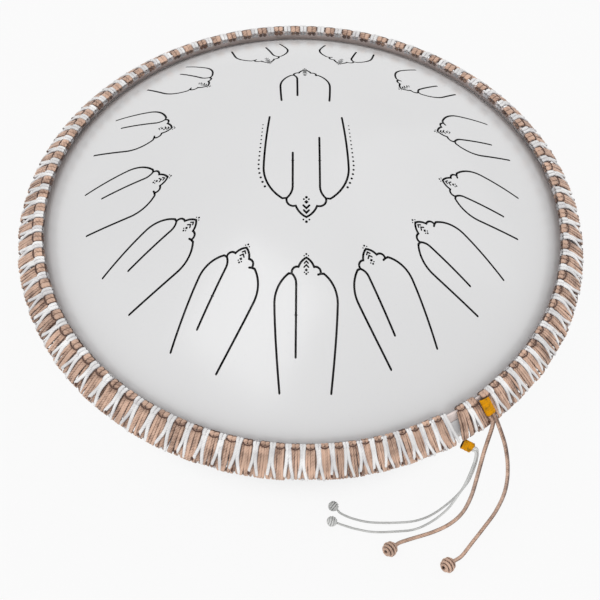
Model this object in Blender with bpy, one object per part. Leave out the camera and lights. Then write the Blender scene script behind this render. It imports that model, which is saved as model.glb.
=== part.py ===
"""Steel tongue drum with a knotted cord cover round its rim.

Two thin steel shells meet at a flange, and the domed upper one has fifteen tongues cut free by
narrow slots. A ring grips the flange and stands up into a lip, which a soft band lines. The lip
carries a fringe of tan and white cord, whose loose ends leave through two amber wraps and end in
ball knots. Metres, +Z up, the drum standing on the origin with its longest tongue along -Y.
"""

import math

import bmesh
import bpy
from mathutils import Matrix, Vector

MM = 0.001
GAP = 0.3 * MM
SEGMENTS = 54

# Steel shells
FACE_RADIUS = 174.0 * MM
DOME_HEIGHT = 76.2 * MM
DOME_SHOULDER = 0.062
TOP_WALL = 2.0 * MM
FLANGE_WIDTH = 3.5 * MM
BOWL_DEPTH = 87.7 * MM
BOWL_WALL = 1.6 * MM
BOWL_SETBACK = 0.5 * MM
BASE_RADIUS = 95.0 * MM
SOUND_HOLE_RADIUS = 30.0 * MM

# Tongues
OUTER_TONGUES = 13
SLOT_WIDTH = 1.3 * MM
TIP_RADII = [73.5 * MM, 75.0 * MM, 79.4 * MM, 85.2 * MM, 90.7 * MM, 96.0 * MM, 98.0 * MM]
ROOT_RADII = [142.5 * MM, 136.9 * MM, 136.8 * MM, 136.8 * MM, 139.3 * MM, 138.5 * MM, 137.0 * MM,
              140.5 * MM, 143.0 * MM, 141.4 * MM, 139.0 * MM, 138.3 * MM, 140.1 * MM]
LARGE_TIP_RADIUS = 49.3 * MM
LARGE_LENGTH = 76.5 * MM
LARGE_SCALE = 1.4
LARGE_INNER_ENDS = (57.4 * MM, 45.0 * MM)
SMALL_TIP_RADIUS = 81.2 * MM
SMALL_LENGTH = 38.0 * MM
SMALL_SCALE = 0.87
SMALL_INNER_END = 33.0 * MM

# Tongue outline, measured from its tip: half-width, then distance towards the root
NOTCH = (4.5 * MM, 5.2 * MM)
LOBE_END = (8.3 * MM, 8.9 * MM)
HUMP = (10.2 * MM, 8.8 * MM)
SHOULDER = (18.3 * MM, 24.3 * MM)
SIDE_TAPER = 0.076
TAPER_REACH = 44.7 * MM
INNER_SLOT_OFFSET = 5.8 * MM
INNER_SLOT_START = 14.2 * MM
INNER_SLOT_SHARE = 0.62
INNER_SLOT_REST = 9.3 * MM

# Ring on the flange, and the band on its lip
RING_WALL = 1.4 * MM
RING_LIMB = 2.8 * MM
LIP_HEIGHT = 10.9 * MM
LIP_LEAN = 4.8 * MM
LIP_WALL = 1.5 * MM
BAND_FOLD = 6.0 * MM
BAND_LEG = 0.6 * MM

# Cord cover
COVER_UNITS = 96
COVER_TURN = math.radians(-0.5)
MISSING_UNIT = 80
COVER_SLOPE = math.radians(41.0)
COVER_SEAT = 0.5 * MM
STRAND_LENGTH = 19.4 * MM
STRAND_THICKNESS = 2.2 * MM
TAN_KNOT_THICKNESS = 2.6 * MM
WHITE_KNOT_THICKNESS = 2.4 * MM
TAN_SHARE = 0.46
WHITE_SHARE = 0.40
RUN_SIZE = 1.3 * MM

# Feet
FOOT_COUNT = 4
FOOT_HEIGHT = 8.0 * MM
FOOT_RADIUS = 11.0 * MM
FOOT_INSET = 17.0 * MM
STEM_RADIUS = 3.0 * MM
BARB_RADIUS = 4.6 * MM
BARB_HEIGHT = 3.5 * MM

# Loose cord ends
TAN_CORD = 2.5 * MM
WHITE_CORD = 1.5 * MM
TAN_KNOT_RADIUS = 5.0 * MM
WHITE_KNOT_RADIUS = 3.5 * MM
UPPER_WRAP_SIZE = (11.0 * MM, 6.8 * MM, 3.0 * MM)
UPPER_WRAP_START = 0.4 * MM
UPPER_WRAP_UNIT = 82
LOWER_WRAP_SIZE = (7.5 * MM, 6.5 * MM, 2.4 * MM)
LOWER_WRAP_START = 23.4 * MM
LOWER_WRAP_AZIMUTH = math.radians(-58.9)
LOWER_WRAP_TILT = math.radians(52.0)
LOOSE_SPACING = 3.0
LOOSE_STRETCH = 2.0
FLOOR_GAP = 0.05 * MM

# Routes of the loose ends, chosen by hand: from the wrap over the rim, down and along the floor
LEFT_TAN_ROUTE = [(107.0, -161.0, 86.0), (105.7, -167.0, 64.0), (105.3, -169.6, 40.0),
                  (102.6, -171.5, 19.0), (96.0, -173.5, 5.2), (85.0, -177.6, 1.5), (72.0, -181.8, 1.5),
                  (63.6, -185.0, 2.4)]
RIGHT_TAN_ROUTE = [(120.4, -156.2, 84.0), (125.0, -162.2, 63.0), (127.0, -165.6, 39.0),
                   (124.6, -169.4, 17.0), (118.4, -175.4, 4.6), (110.3, -184.6, 1.5), (103.0, -193.4, 1.6)]
UPPER_WHITE_ROUTE = [(104.0, -160.8, 79.0), (103.9, -162.4, 70.5), (103.2, -163.7, 60.0), (101.8, -164.7, 49.0),
                     (96.6, -166.0, 30.0), (87.4, -167.2, 10.0), (78.0, -168.8, 1.6), (66.6, -170.6, 0.9),
                     (47.0, -170.8, 0.9), (34.7, -168.4, 0.9), (26.4, -165.0, 1.6)]
LOWER_WHITE_ROUTE = [(102.6, -162.7, 78.0), (101.6, -165.0, 69.0), (100.0, -167.5, 59.0), (97.6, -169.9, 48.5),
                     (91.4, -173.0, 27.0), (81.6, -174.8, 9.0), (70.0, -176.2, 0.9), (49.0, -177.4, 0.9),
                     (36.5, -175.5, 0.9), (27.4, -173.0, 1.6)]
LEFT_TAN_END = (56.8, -190.4)
RIGHT_TAN_END = (93.1, -200.8)
UPPER_WHITE_END = (21.4, -160.6)
LOWER_WHITE_END = (20.2, -171.2)

# Heights worked out from the sizes above
FACE_Z = FOOT_HEIGHT + GAP + BOWL_DEPTH
RIM_RADIUS = FACE_RADIUS + FLANGE_WIDTH


def clear_scene():
    for item in list(bpy.data.objects):
        bpy.data.objects.remove(item, do_unlink=True)


def material(name, colour, roughness, metallic=0.0):
    made = bpy.data.materials.new(name)
    made.use_nodes = True
    shader = made.node_tree.nodes["Principled BSDF"]
    shader.inputs["Base Color"].default_value = (*colour, 1.0)
    shader.inputs["Roughness"].default_value = roughness
    shader.inputs["Metallic"].default_value = metallic
    made.diffuse_color = (*colour, 1.0)
    return made


def add_object(name, bm, surface, smooth=True):
    """Turn a finished bmesh into an object with outward normals and one material."""
    bmesh.ops.recalc_face_normals(bm, faces=bm.faces)
    mesh = bpy.data.meshes.new(name)
    bm.to_mesh(mesh)
    bm.free()
    if smooth:
        mesh.shade_smooth()
        mesh.set_sharp_from_angle(angle=math.radians(35.0))
    made = bpy.data.objects.new(name, mesh)
    if surface is not None:
        mesh.materials.append(surface)
    bpy.context.scene.collection.objects.link(made)
    return made


def revolve(profile, segments=SEGMENTS, closed=True):
    """Turn a profile of (radius, height) points about Z, joined up at both ends if closed."""
    bm = bmesh.new()
    ring = [bm.verts.new((radius, 0.0, height)) for radius, height in profile]
    edges = [bm.edges.new(pair) for pair in zip(ring, ring[1:])]
    if closed:
        edges.append(bm.edges.new((ring[-1], ring[0])))
    bmesh.ops.spin(bm, geom=ring + edges, cent=(0.0, 0.0, 0.0), axis=(0.0, 0.0, 1.0),
                   angle=2.0 * math.pi, steps=segments, use_merge=True)
    bmesh.ops.remove_doubles(bm, verts=bm.verts, dist=1e-6)
    return bm


def arc(start, end, bulge, steps):
    """Points after start on the arc to end, whose rise is bulge times the chord, to its left."""
    a = Vector(start)
    b = Vector(end)
    chord = b - a
    side = Vector((-chord.y, chord.x))
    half = 2.0 * math.atan(2.0 * bulge)
    points = []
    for i in range(1, steps + 1):
        share = i / steps
        angle = half * (2.0 * share - 1.0)
        along = 0.5 + 0.5 * math.sin(angle) / math.sin(half)
        rise = 0.5 * (math.cos(angle) - math.cos(half)) / math.sin(half)
        points.append(tuple(a + chord * along + side * rise))
    return points


def dome_height(radius):
    """Outer height of the dome above the face plane at a distance from its axis."""
    share = radius / FACE_RADIUS
    return DOME_HEIGHT * (1.0 - (1.0 - DOME_SHOULDER) * share ** 2 - DOME_SHOULDER * share ** 4)


def dome_slope(radius):
    share = radius / FACE_RADIUS
    fall = 2.0 * (1.0 - DOME_SHOULDER) * share + 4.0 * DOME_SHOULDER * share ** 3
    return -DOME_HEIGHT / FACE_RADIUS * fall


def top_shell_profile():
    rings = 6
    outer = [(FACE_RADIUS * i / rings, FACE_Z + dome_height(FACE_RADIUS * i / rings)) for i in range(rings + 1)]
    inner = []
    for i in range(rings + 1):
        radius = FACE_RADIUS * i / rings
        slope = dome_slope(radius)
        reach = TOP_WALL / math.hypot(slope, 1.0)
        inner.append((radius + slope * reach, FACE_Z + dome_height(radius) - reach))
    corner_fall = FACE_Z - TOP_WALL - inner[-1][1]
    corner = inner[-1][0] + corner_fall / dome_slope(FACE_RADIUS)
    flange = [(RIM_RADIUS, FACE_Z), (RIM_RADIUS, FACE_Z - TOP_WALL), (corner, FACE_Z - TOP_WALL)]
    return outer + flange + inner[::-1]


def half_outline(length, scale, steps=(2, 3, 4, 2)):
    """One side of a tongue from its tip to its root, as (half-width, distance) points."""
    tip_steps, lobe_steps, shoulder_steps, side_steps = steps
    notch, lobe_end, hump, shoulder = [(w * scale, s * scale) for w, s in (NOTCH, LOBE_END, HUMP, SHOULDER)]
    points = [(0.0, 0.0)]
    points += arc(points[-1], notch, -0.10, tip_steps)
    points += arc(notch, lobe_end, -0.30, lobe_steps)
    points.append(hump)
    points += arc(hump, shoulder, -0.118, shoulder_steps)
    for i in range(1, side_steps + 1):
        run = (length - shoulder[1]) * i / side_steps
        fall = SIDE_TAPER * run * math.sqrt(run / TAPER_REACH)
        points.append((shoulder[0] - fall, shoulder[1] + run))
    return points


def inner_slot(end, scale):
    """The slot inside a tongue, from the end of its crown's lobe towards the root."""
    start = (LOBE_END[0] * scale, LOBE_END[1] * scale)
    bend = (INNER_SLOT_OFFSET * scale, INNER_SLOT_START * scale)
    return [start] + arc(start, bend, 0.10, 2) + [(bend[0], end)]


def inner_end(length):
    """Where the inner slot of an outer tongue ends: long tongues leave more before the root."""
    return INNER_SLOT_SHARE * length + INNER_SLOT_REST


def offset_strip(points, width):
    """Outline of a strip of even width along a line of points, mitred at its corners."""
    line = [Vector(p) for p in points]
    left = []
    right = []
    for i, point in enumerate(line):
        before = (point - line[i - 1]).normalized() if i else (line[1] - point).normalized()
        after = (line[i + 1] - point).normalized() if i < len(line) - 1 else before
        middle = (before + after).normalized()
        normal = Vector((-middle.y, middle.x))
        reach = 0.5 * width / max(normal.dot(Vector((-before.y, before.x))), 0.4)
        left.append(point + normal * reach)
        right.append(point - normal * reach)
    return left + right[::-1]


def add_prism(bm, outline, low, high):
    base = [bm.verts.new((p.x, p.y, low)) for p in outline]
    face = bm.faces.new(base)
    raised = bmesh.ops.extrude_face_region(bm, geom=[face])["geom"]
    moved = [item for item in raised if isinstance(item, bmesh.types.BMVert)]
    bmesh.ops.translate(bm, verts=moved, vec=(0.0, 0.0, high - low))


def tongue_list():
    """Each tongue's tip radius, direction, length, scale and inner slots as (side, end)."""
    tongues = []
    for i in range(OUTER_TONGUES):
        pair = min(i, OUTER_TONGUES - i)
        tip = TIP_RADII[min(pair, len(TIP_RADII) - 1)]
        direction = -0.5 * math.pi + 2.0 * math.pi * i / OUTER_TONGUES
        length = ROOT_RADII[i] - tip
        tongues.append((tip, direction, length, 1.0, 1.0, [(-1.0, inner_end(length))]))
    large_ends = [(1.0, LARGE_INNER_ENDS[0]), (-1.0, LARGE_INNER_ENDS[1])]
    tongues.append((LARGE_TIP_RADIUS, -0.5 * math.pi, LARGE_LENGTH, LARGE_SCALE, -1.0, large_ends))
    small_ends = [(1.0, SMALL_INNER_END)]
    tongues.append((SMALL_TIP_RADIUS, 0.5 * math.pi, SMALL_LENGTH, SMALL_SCALE, -1.0, small_ends))
    return tongues


def slot_cutters():
    """Two cutters: the outlines of all tongues, and the slots inside them."""
    low = FACE_Z - 2.0 * TOP_WALL
    high = FACE_Z + DOME_HEIGHT + 2.0 * TOP_WALL
    outlines = bmesh.new()
    insides = bmesh.new()
    for tip, direction, length, scale, way, inner in tongue_list():
        along = Vector((math.cos(direction), math.sin(direction)))
        across = Vector((-along.y, along.x))

        def place(points, side=1.0):
            return [along * (tip + way * s) + across * (side * w) for w, s in points]

        half = half_outline(length, scale)
        path = place(half[::-1], -1.0) + place(half[1:])
        add_prism(outlines, offset_strip(path, SLOT_WIDTH), low, high)
        for side, end in inner:
            add_prism(insides, offset_strip(place(inner_slot(end, scale), side), SLOT_WIDTH), low, high)
    return [as_cutter("outline_cutter", outlines), as_cutter("inside_cutter", insides)]


def as_cutter(name, bm):
    made = add_object(name, bm, None, smooth=False)
    made.hide_render = True
    made.display_type = "WIRE"
    return made


def cut(target, cutter):
    step = target.modifiers.new(cutter.name, "BOOLEAN")
    step.operation = "DIFFERENCE"
    step.solver = "EXACT"
    step.object = cutter


def build_top_shell(paint):
    shell = add_object("top_shell", revolve(top_shell_profile(), closed=False), paint)
    for cutter in slot_cutters():
        cut(shell, cutter)


def bowl_profile():
    """Flange, nearly upright side, elliptic turn and flat base with the sound hole."""
    flange_top = FACE_Z - TOP_WALL - GAP
    flange_bottom = flange_top - BOWL_WALL
    side = FACE_RADIUS - BOWL_SETBACK
    base = FACE_Z - BOWL_DEPTH
    fall = flange_bottom - base
    steps = 6
    outer = []
    inner = []
    for i in range(steps + 1):
        angle = 0.5 * math.pi * i / steps
        spread = side - BASE_RADIUS
        radius = BASE_RADIUS + spread * math.cos(angle)
        height = flange_bottom - fall * math.sin(angle)
        normal = Vector((fall * math.cos(angle), -spread * math.sin(angle))).normalized()
        outer.append((radius, height))
        inner.append((radius - BOWL_WALL * normal.x, height - BOWL_WALL * normal.y))
    hole = [(SOUND_HOLE_RADIUS, base), (SOUND_HOLE_RADIUS, base + BOWL_WALL)]
    rim = [(inner[0][0], flange_top), (RIM_RADIUS, flange_top), (RIM_RADIUS, flange_bottom)]
    return rim + outer + hole + inner[::-1]


def foot_places():
    circle = BASE_RADIUS - FOOT_INSET
    for i in range(FOOT_COUNT):
        angle = 2.0 * math.pi * (i + 0.5) / FOOT_COUNT
        yield i + 1, circle * math.cos(angle), circle * math.sin(angle)


def build_bottom_shell(paint):
    shell = add_object("bottom_shell", revolve(bowl_profile()), paint)
    base = FACE_Z - BOWL_DEPTH
    holes = bmesh.new()
    for _, x, y in foot_places():
        place = Matrix.Translation((x, y, base + 0.5 * BOWL_WALL))
        bmesh.ops.create_cone(holes, cap_ends=True, segments=16, radius1=STEM_RADIUS + GAP,
                              radius2=STEM_RADIUS + GAP, depth=3.0 * BOWL_WALL, matrix=place)
    cut(shell, as_cutter("foot_hole_cutter", holes))


def build_feet(rubber):
    """Push-in rubber feet: a pad under the base, a stem through it and a barb above it."""
    pad_top = FOOT_HEIGHT
    barb_low = FACE_Z - BOWL_DEPTH + BOWL_WALL + GAP
    tread = FOOT_RADIUS - 1.8 * MM
    profile = [(0.0, 0.0), (tread - 0.8 * MM, 0.0), (tread, 0.8 * MM), (FOOT_RADIUS, pad_top - 0.8 * MM),
               (FOOT_RADIUS - 0.8 * MM, pad_top), (STEM_RADIUS, pad_top), (STEM_RADIUS, barb_low),
               (BARB_RADIUS, barb_low), (BARB_RADIUS - 0.4 * MM, barb_low + 0.3 * BARB_HEIGHT),
               (0.5 * BARB_RADIUS, barb_low + BARB_HEIGHT), (0.0, barb_low + BARB_HEIGHT)]
    for number, x, y in foot_places():
        foot = add_object(f"rubber_foot_{number}", revolve(profile, segments=12, closed=False), rubber)
        foot.location = (x, y, 0.0)


def lip_point(up, out):
    """Radius and height of a point on the leaning lip, from the foot of its inner face."""
    length = math.hypot(LIP_LEAN, LIP_HEIGHT)
    rise = Vector((-LIP_LEAN, LIP_HEIGHT)) / length
    away = Vector((LIP_HEIGHT, LIP_LEAN)) / length
    return Vector((FACE_RADIUS + GAP, FACE_Z + GAP)) + rise * up + away * out


def lip_corner():
    """Outer corner of the lip at its top."""
    return lip_point(math.hypot(LIP_LEAN, LIP_HEIGHT), LIP_WALL)


def lip_line_at(height, out):
    """Point of a line along the lip, some way out from its inner face, at a height."""
    foot = lip_point(0.0, out)
    return Vector((foot.x - (height - foot.y) * LIP_LEAN / LIP_HEIGHT, height))


def build_rim_ring(paint):
    """Channel round both flanges, with an upstand that leans in over the face and a sloped outer side."""
    fold = math.hypot(LIP_LEAN, LIP_HEIGHT) - BAND_FOLD - GAP
    limb_top = FACE_Z + GAP + RING_WALL
    flange_bottom = FACE_Z - TOP_WALL - GAP - BOWL_WALL
    outer = RIM_RADIUS + GAP + RING_WALL
    limb_end = outer - RING_WALL - RING_LIMB
    profile = [
        lip_line_at(FACE_Z + GAP, BAND_LEG + GAP),
        lip_point(fold, BAND_LEG + GAP),
        lip_point(fold, LIP_WALL),
        (outer, limb_top),
        (outer, flange_bottom - GAP - RING_WALL),
        (limb_end, flange_bottom - GAP - RING_WALL),
        (limb_end, flange_bottom - GAP),
        (RIM_RADIUS + GAP, flange_bottom - GAP),
        (RIM_RADIUS + GAP, FACE_Z + GAP),
    ]
    add_object("rim_ring", revolve(profile), paint)


def build_rim_band(soft):
    """Band that lines the lip and folds over the top of the ring's upstand."""
    top = math.hypot(LIP_LEAN, LIP_HEIGHT)
    profile = [
        lip_point(0.0, 0.0),
        lip_point(top, 0.0),
        lip_point(top, LIP_WALL),
        lip_point(top - BAND_FOLD, LIP_WALL),
        lip_point(top - BAND_FOLD, BAND_LEG),
        lip_point(0.0, BAND_LEG),
    ]
    add_object("rim_band", revolve(profile), soft)


def cover_point(along, rise):
    """Radius and height of a point on the cover: down the slope from the lip, and above it."""
    down = Vector((math.cos(COVER_SLOPE), -math.sin(COVER_SLOPE)))
    out = Vector((math.sin(COVER_SLOPE), math.cos(COVER_SLOPE)))
    return lip_corner() + out * (COVER_SEAT + rise) + down * (along - 0.4 * MM)


def cover_ring(strand, run, share, phase, missing=()):
    """A ring of strands, each joined to the next by a thin run of the same cord."""
    pitch = 2.0 * math.pi / COVER_UNITS
    half = 0.5 * share * pitch
    edge = 0.03 * pitch
    stations = []
    for i in range(COVER_UNITS):
        centre = (i + phase) * pitch + COVER_TURN
        inside = run if i in missing else strand
        stations.append((centre - half - edge, run))
        stations.append((centre - half, inside))
        stations.append((centre + half, inside))
        stations.append((centre + half + edge, run))
    bm = bmesh.new()
    rings = []
    for angle, section in stations:
        points = [cover_point(along, rise) for along, rise in section]
        rings.append([bm.verts.new((p.x * math.cos(angle), p.x * math.sin(angle), p.y)) for p in points])
    for ring, following in zip(rings, rings[1:] + rings[:1]):
        for j in range(len(ring)):
            k = (j + 1) % len(ring)
            bm.faces.new((ring[j], ring[k], following[k], following[j]))
    return bm


def build_covers(tan, white):
    """Tan and white knots side by side over the lip, with their strands fanned out below."""
    tan_strand = [(-RUN_SIZE, 0.0), (0.5 * MM - RUN_SIZE, TAN_KNOT_THICKNESS),
                  (STRAND_LENGTH, STRAND_THICKNESS), (STRAND_LENGTH, 0.0)]
    tan_run = [(-RUN_SIZE, 0.0), (-RUN_SIZE, RUN_SIZE), (0.0, RUN_SIZE), (0.0, 0.0)]
    white_strand = [(GAP, 0.0), (GAP + 0.5 * MM, WHITE_KNOT_THICKNESS),
                    (STRAND_LENGTH - 0.7 * MM, STRAND_THICKNESS), (STRAND_LENGTH, 0.0)]
    run_start = STRAND_LENGTH - RUN_SIZE
    run_low = -GAP - RUN_SIZE
    white_run = [(run_start, run_low), (run_start, -GAP), (STRAND_LENGTH, -GAP), (STRAND_LENGTH, run_low)]
    tan_ring = cover_ring(tan_strand, tan_run, TAN_SHARE, 0.0, missing=(MISSING_UNIT,))
    white_ring = cover_ring(white_strand, white_run, WHITE_SHARE, 0.5)
    add_object("tan_cord_cover", tan_ring, tan, smooth=False)
    add_object("white_cord_cover", white_ring, white, smooth=False)


def wrap_box(name, size, place, surface):
    """A short flat wrap of tape, with softened edges, placed by its axes."""
    bm = bmesh.new()
    bmesh.ops.create_cube(bm, size=1.0)
    bmesh.ops.scale(bm, verts=bm.verts, vec=size)
    bmesh.ops.bevel(bm, geom=bm.edges, offset=0.4 * MM, segments=1, affect="EDGES")
    bmesh.ops.transform(bm, verts=bm.verts, matrix=place)
    add_object(name, bm, surface, smooth=False)


def axes_matrix(along, across, centre):
    """Matrix whose X runs along, Y across and Z square to both, at a centre."""
    upright = along.cross(across)
    turn = Matrix((along, across, upright)).transposed().to_4x4()
    return Matrix.Translation(centre) @ turn


def upper_wrap_frame():
    """Axes of the wrap that lies on one tan strand, and the centre of its lower end."""
    angle = 2.0 * math.pi * UPPER_WRAP_UNIT / COVER_UNITS + COVER_TURN
    radial = Vector((math.cos(angle), math.sin(angle), 0.0))
    across = Vector((-math.sin(angle), math.cos(angle), 0.0))
    along = radial * math.cos(COVER_SLOPE) - Vector((0.0, 0.0, math.sin(COVER_SLOPE)))
    length, _, thickness = UPPER_WRAP_SIZE
    rise = TAN_KNOT_THICKNESS + GAP + 0.5 * thickness
    middle = cover_point(UPPER_WRAP_START + 0.5 * length, rise)
    centre = radial * middle.x + Vector((0.0, 0.0, middle.y))
    return along, across, centre, centre + along * (0.5 * length)


def lower_wrap_frame():
    """Axes of the wrap tucked under the fringe, and the centre of its lower end."""
    radial = Vector((math.cos(LOWER_WRAP_AZIMUTH), math.sin(LOWER_WRAP_AZIMUTH), 0.0))
    around = Vector((-radial.y, radial.x, 0.0))
    down = radial * math.cos(COVER_SLOPE) - Vector((0.0, 0.0, math.sin(COVER_SLOPE)))
    along = around * math.cos(LOWER_WRAP_TILT) + down * math.sin(LOWER_WRAP_TILT)
    across = around * math.sin(LOWER_WRAP_TILT) - down * math.cos(LOWER_WRAP_TILT)
    length, _, thickness = LOWER_WRAP_SIZE
    middle = cover_point(LOWER_WRAP_START, -2.0 * GAP - RUN_SIZE - 0.5 * thickness)
    centre = radial * middle.x + Vector((0.0, 0.0, middle.y))
    return along, across, centre, centre + along * (0.5 * length)


def smooth_route(points, spacing, lowest):
    """Evenly spaced points on a smooth curve through the given ones, none under the lowest height."""
    line = [Vector(p) for p in points]
    line = [2.0 * line[0] - line[1]] + line + [2.0 * line[-1] - line[-2]]
    fine = []
    for a, b, c, d in zip(line, line[1:], line[2:], line[3:]):
        for i in range(20):
            t = i / 20.0
            pull = 2.0 * b + (c - a) * t + (2.0 * a - 5.0 * b + 4.0 * c - d) * t ** 2
            fine.append(0.5 * (pull + (3.0 * b - a - 3.0 * c + d) * t ** 3))
    fine.append(line[-2])
    lengths = [0.0]
    for a, b in zip(fine, fine[1:]):
        lengths.append(lengths[-1] + (b - a).length)
    count = max(2, round(lengths[-1] / spacing))
    even = []
    place = 0
    for i in range(count + 1):
        target = lengths[-1] * i / count
        while place < len(fine) - 2 and lengths[place + 1] < target:
            place += 1
        share = (target - lengths[place]) / (lengths[place + 1] - lengths[place])
        point = fine[place].lerp(fine[place + 1], min(share, 1.0))
        point.z = max(point.z, lowest)
        even.append(point)
    return even


def loose_end(name, start, along, route, knot_name, end, diameter, knot_radius, surface):
    """One loose cord from a wrap's end to its ball knot, both ends cut square to what they meet."""
    knot = Vector((end[0] * MM, end[1] * MM, knot_radius))
    middle = [Vector(p) * MM for p in route]
    first = start + along * GAP
    reach = knot - middle[-1]
    last = knot - reach.normalized() * (knot_radius + GAP)
    spacing = LOOSE_SPACING * diameter
    points = [first, first + along * (LOOSE_STRETCH * diameter)] + middle + [last]
    line = smooth_route(points, spacing, 0.5 * diameter + FLOOR_GAP)
    curve = bpy.data.curves.new(name, "CURVE")
    curve.dimensions = "3D"
    curve.bevel_depth = 0.5 * diameter
    curve.bevel_resolution = 2
    curve.use_fill_caps = True
    spline = curve.splines.new("POLY")
    spline.points.add(len(line) - 1)
    for point, place in zip(spline.points, line):
        point.co = (*place, 1.0)
    curve.materials.append(surface)
    made = bpy.data.objects.new(name, curve)
    bpy.context.scene.collection.objects.link(made)
    bm = bmesh.new()
    bmesh.ops.create_uvsphere(bm, u_segments=10, v_segments=6, radius=knot_radius)
    ball = add_object(knot_name, bm, surface)
    ball.location = knot


def build_loose_ends(tan, white, amber):
    along, across, centre, end = upper_wrap_frame()
    wrap_box("upper_wrap", UPPER_WRAP_SIZE, axes_matrix(along, across, centre), amber)
    apart = across * (0.5 * TAN_CORD + 0.7 * GAP)
    loose_end("left_tan_tail", end - apart, along, LEFT_TAN_ROUTE, "left_tan_knot", LEFT_TAN_END,
              TAN_CORD, TAN_KNOT_RADIUS, tan)
    loose_end("right_tan_tail", end + apart, along, RIGHT_TAN_ROUTE, "right_tan_knot", RIGHT_TAN_END,
              TAN_CORD, TAN_KNOT_RADIUS, tan)
    along, across, centre, end = lower_wrap_frame()
    wrap_box("lower_wrap", LOWER_WRAP_SIZE, axes_matrix(along, across, centre), amber)
    apart = across * (0.5 * WHITE_CORD + 0.7 * GAP)
    loose_end("upper_white_tail", end + apart, along, UPPER_WHITE_ROUTE, "upper_white_knot", UPPER_WHITE_END,
              WHITE_CORD, WHITE_KNOT_RADIUS, white)
    loose_end("lower_white_tail", end - apart, along, LOWER_WHITE_ROUTE, "lower_white_knot", LOWER_WHITE_END,
              WHITE_CORD, WHITE_KNOT_RADIUS, white)


def main():
    clear_scene()
    paint = material("white_powder_coat", (0.78, 0.78, 0.79), 0.45, 0.1)
    grey_paint = material("grey_powder_coat", (0.62, 0.62, 0.63), 0.5, 0.1)
    taupe = material("taupe_band", (0.38, 0.31, 0.28), 0.6)
    tan = material("tan_cord", (0.52, 0.33, 0.24), 0.85)
    white = material("white_cord", (0.82, 0.81, 0.78), 0.85)
    amber = material("amber_tape", (0.62, 0.30, 0.01), 0.4)
    rubber = material("black_rubber", (0.02, 0.02, 0.02), 0.7)
    build_top_shell(paint)
    build_bottom_shell(grey_paint)
    build_rim_ring(grey_paint)
    build_rim_band(taupe)
    build_covers(tan, white)
    build_loose_ends(tan, white, amber)
    build_feet(rubber)


main()
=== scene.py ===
"""Steel tongue drum with a knotted cord cover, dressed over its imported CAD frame.

Metres, +Z up, the drum standing on the origin with its longest tongue pointing along -Y. The
tables of tongues, ornament, strands and cord routes are in millimetres.
"""

import math
import random

import bmesh
import bpy
import numpy as np
from bpy.props import FloatProperty, FloatVectorProperty, IntProperty, PointerProperty
from mathutils import Matrix, Vector


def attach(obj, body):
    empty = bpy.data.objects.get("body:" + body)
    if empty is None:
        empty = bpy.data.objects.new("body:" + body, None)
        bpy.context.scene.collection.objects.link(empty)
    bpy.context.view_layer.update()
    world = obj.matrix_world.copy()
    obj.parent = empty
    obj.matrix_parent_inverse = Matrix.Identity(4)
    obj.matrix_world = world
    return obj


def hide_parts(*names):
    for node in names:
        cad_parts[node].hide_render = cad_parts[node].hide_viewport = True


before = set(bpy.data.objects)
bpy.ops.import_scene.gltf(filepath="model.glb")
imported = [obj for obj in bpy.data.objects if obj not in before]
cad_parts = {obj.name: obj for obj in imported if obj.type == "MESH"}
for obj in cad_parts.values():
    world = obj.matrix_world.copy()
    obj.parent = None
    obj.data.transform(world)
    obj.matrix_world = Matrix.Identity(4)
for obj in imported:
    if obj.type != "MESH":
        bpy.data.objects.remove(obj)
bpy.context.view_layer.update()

bl_info = {
    "name": "Corded Tongue Drum",
    "version": (1, 0, 0),
    "blender": (4, 5, 0),
    "location": "View3D > Sidebar > Tongue Drum",
    "description": "Builds a steel tongue drum with a knotted cord cover round its rim",
    "category": "Add Mesh",
}

MM = 0.001
BODY = "root"
UPRIGHT = Vector((0.0, 0.0, 1.0))

# What each vertex of a cord carries: distance along it, place across it both ways, and tone, which also
# holds painted shade
CORD_LAYERS = ("along", "side", "rise", "tone_and_shade")

# Steps round the drum's axis and along the curves of its profiles, and rounded corners
DOME_STEPS, DOME_RINGS = 168, 34
BOWL_STEPS, BOWL_RINGS = 128, 26
RIM_STEPS = 160
RING_CORNER = 0.35 * MM
BAND_CORNER = 0.4 * MM
FOOT_STEPS = 48

# Tongues: tip radius of each pair from the front round to the back, and each tongue's root radius
OUTER_TONGUES = 13
TIP_RADII = (73.5, 75.0, 79.4, 85.2, 90.7, 96.0, 98.0)
ROOT_RADII = (142.5, 136.9, 136.8, 136.8, 139.3, 138.5, 137.0, 140.5, 143.0, 141.4, 139.0, 138.3, 140.1)
LARGE_TONGUE = {"tip": 49.3, "length": 76.5, "scale": 1.4, "inner": ((1.0, 57.4), (-1.0, 45.0))}
SMALL_TONGUE = {"tip": 81.2, "length": 38.0, "scale": 0.87, "inner": ((1.0, 33.0),)}

# Tongue outline from its tip: half-width, then distance towards the root
NOTCH = (4.5, 5.2)
LOBE_END = (8.3, 8.9)
HUMP = (10.2, 8.8)
SHOULDER = (18.3, 24.3)
SIDE_TAPER = 0.076
TAPER_REACH = 44.7
SPUR = (6.9, 9.4)
INNER_SLOT_OFFSET = 5.8
INNER_SLOT_START = 14.2

# Ornament cut round each tip: dots as (half-width, distance, radius), two chevrons and a diamond
TIP_DOTS = ((0.0, -2.05, 0.62), (1.25, -1.1, 0.42), (-1.25, -1.1, 0.42), (1.05, 8.25, 0.45),
            (-1.05, 8.25, 0.45), (0.0, 9.15, 0.62))
TIP_CHEVRONS = (((-1.1, 3.15), (0.0, 1.95), (1.1, 3.15)), ((-1.3, 5.4), (0.0, 4.05), (1.3, 5.4)))
TIP_DIAMOND = ((0.0, 6.0), (1.0, 6.95), (0.0, 7.9), (-1.0, 6.95))
CHEVRON_WIDTH = 0.9
SLOT_DIAMOND = ((1.25, 0.5), (0.5, 1.25))
LONG_TONGUE = 65.0

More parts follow.
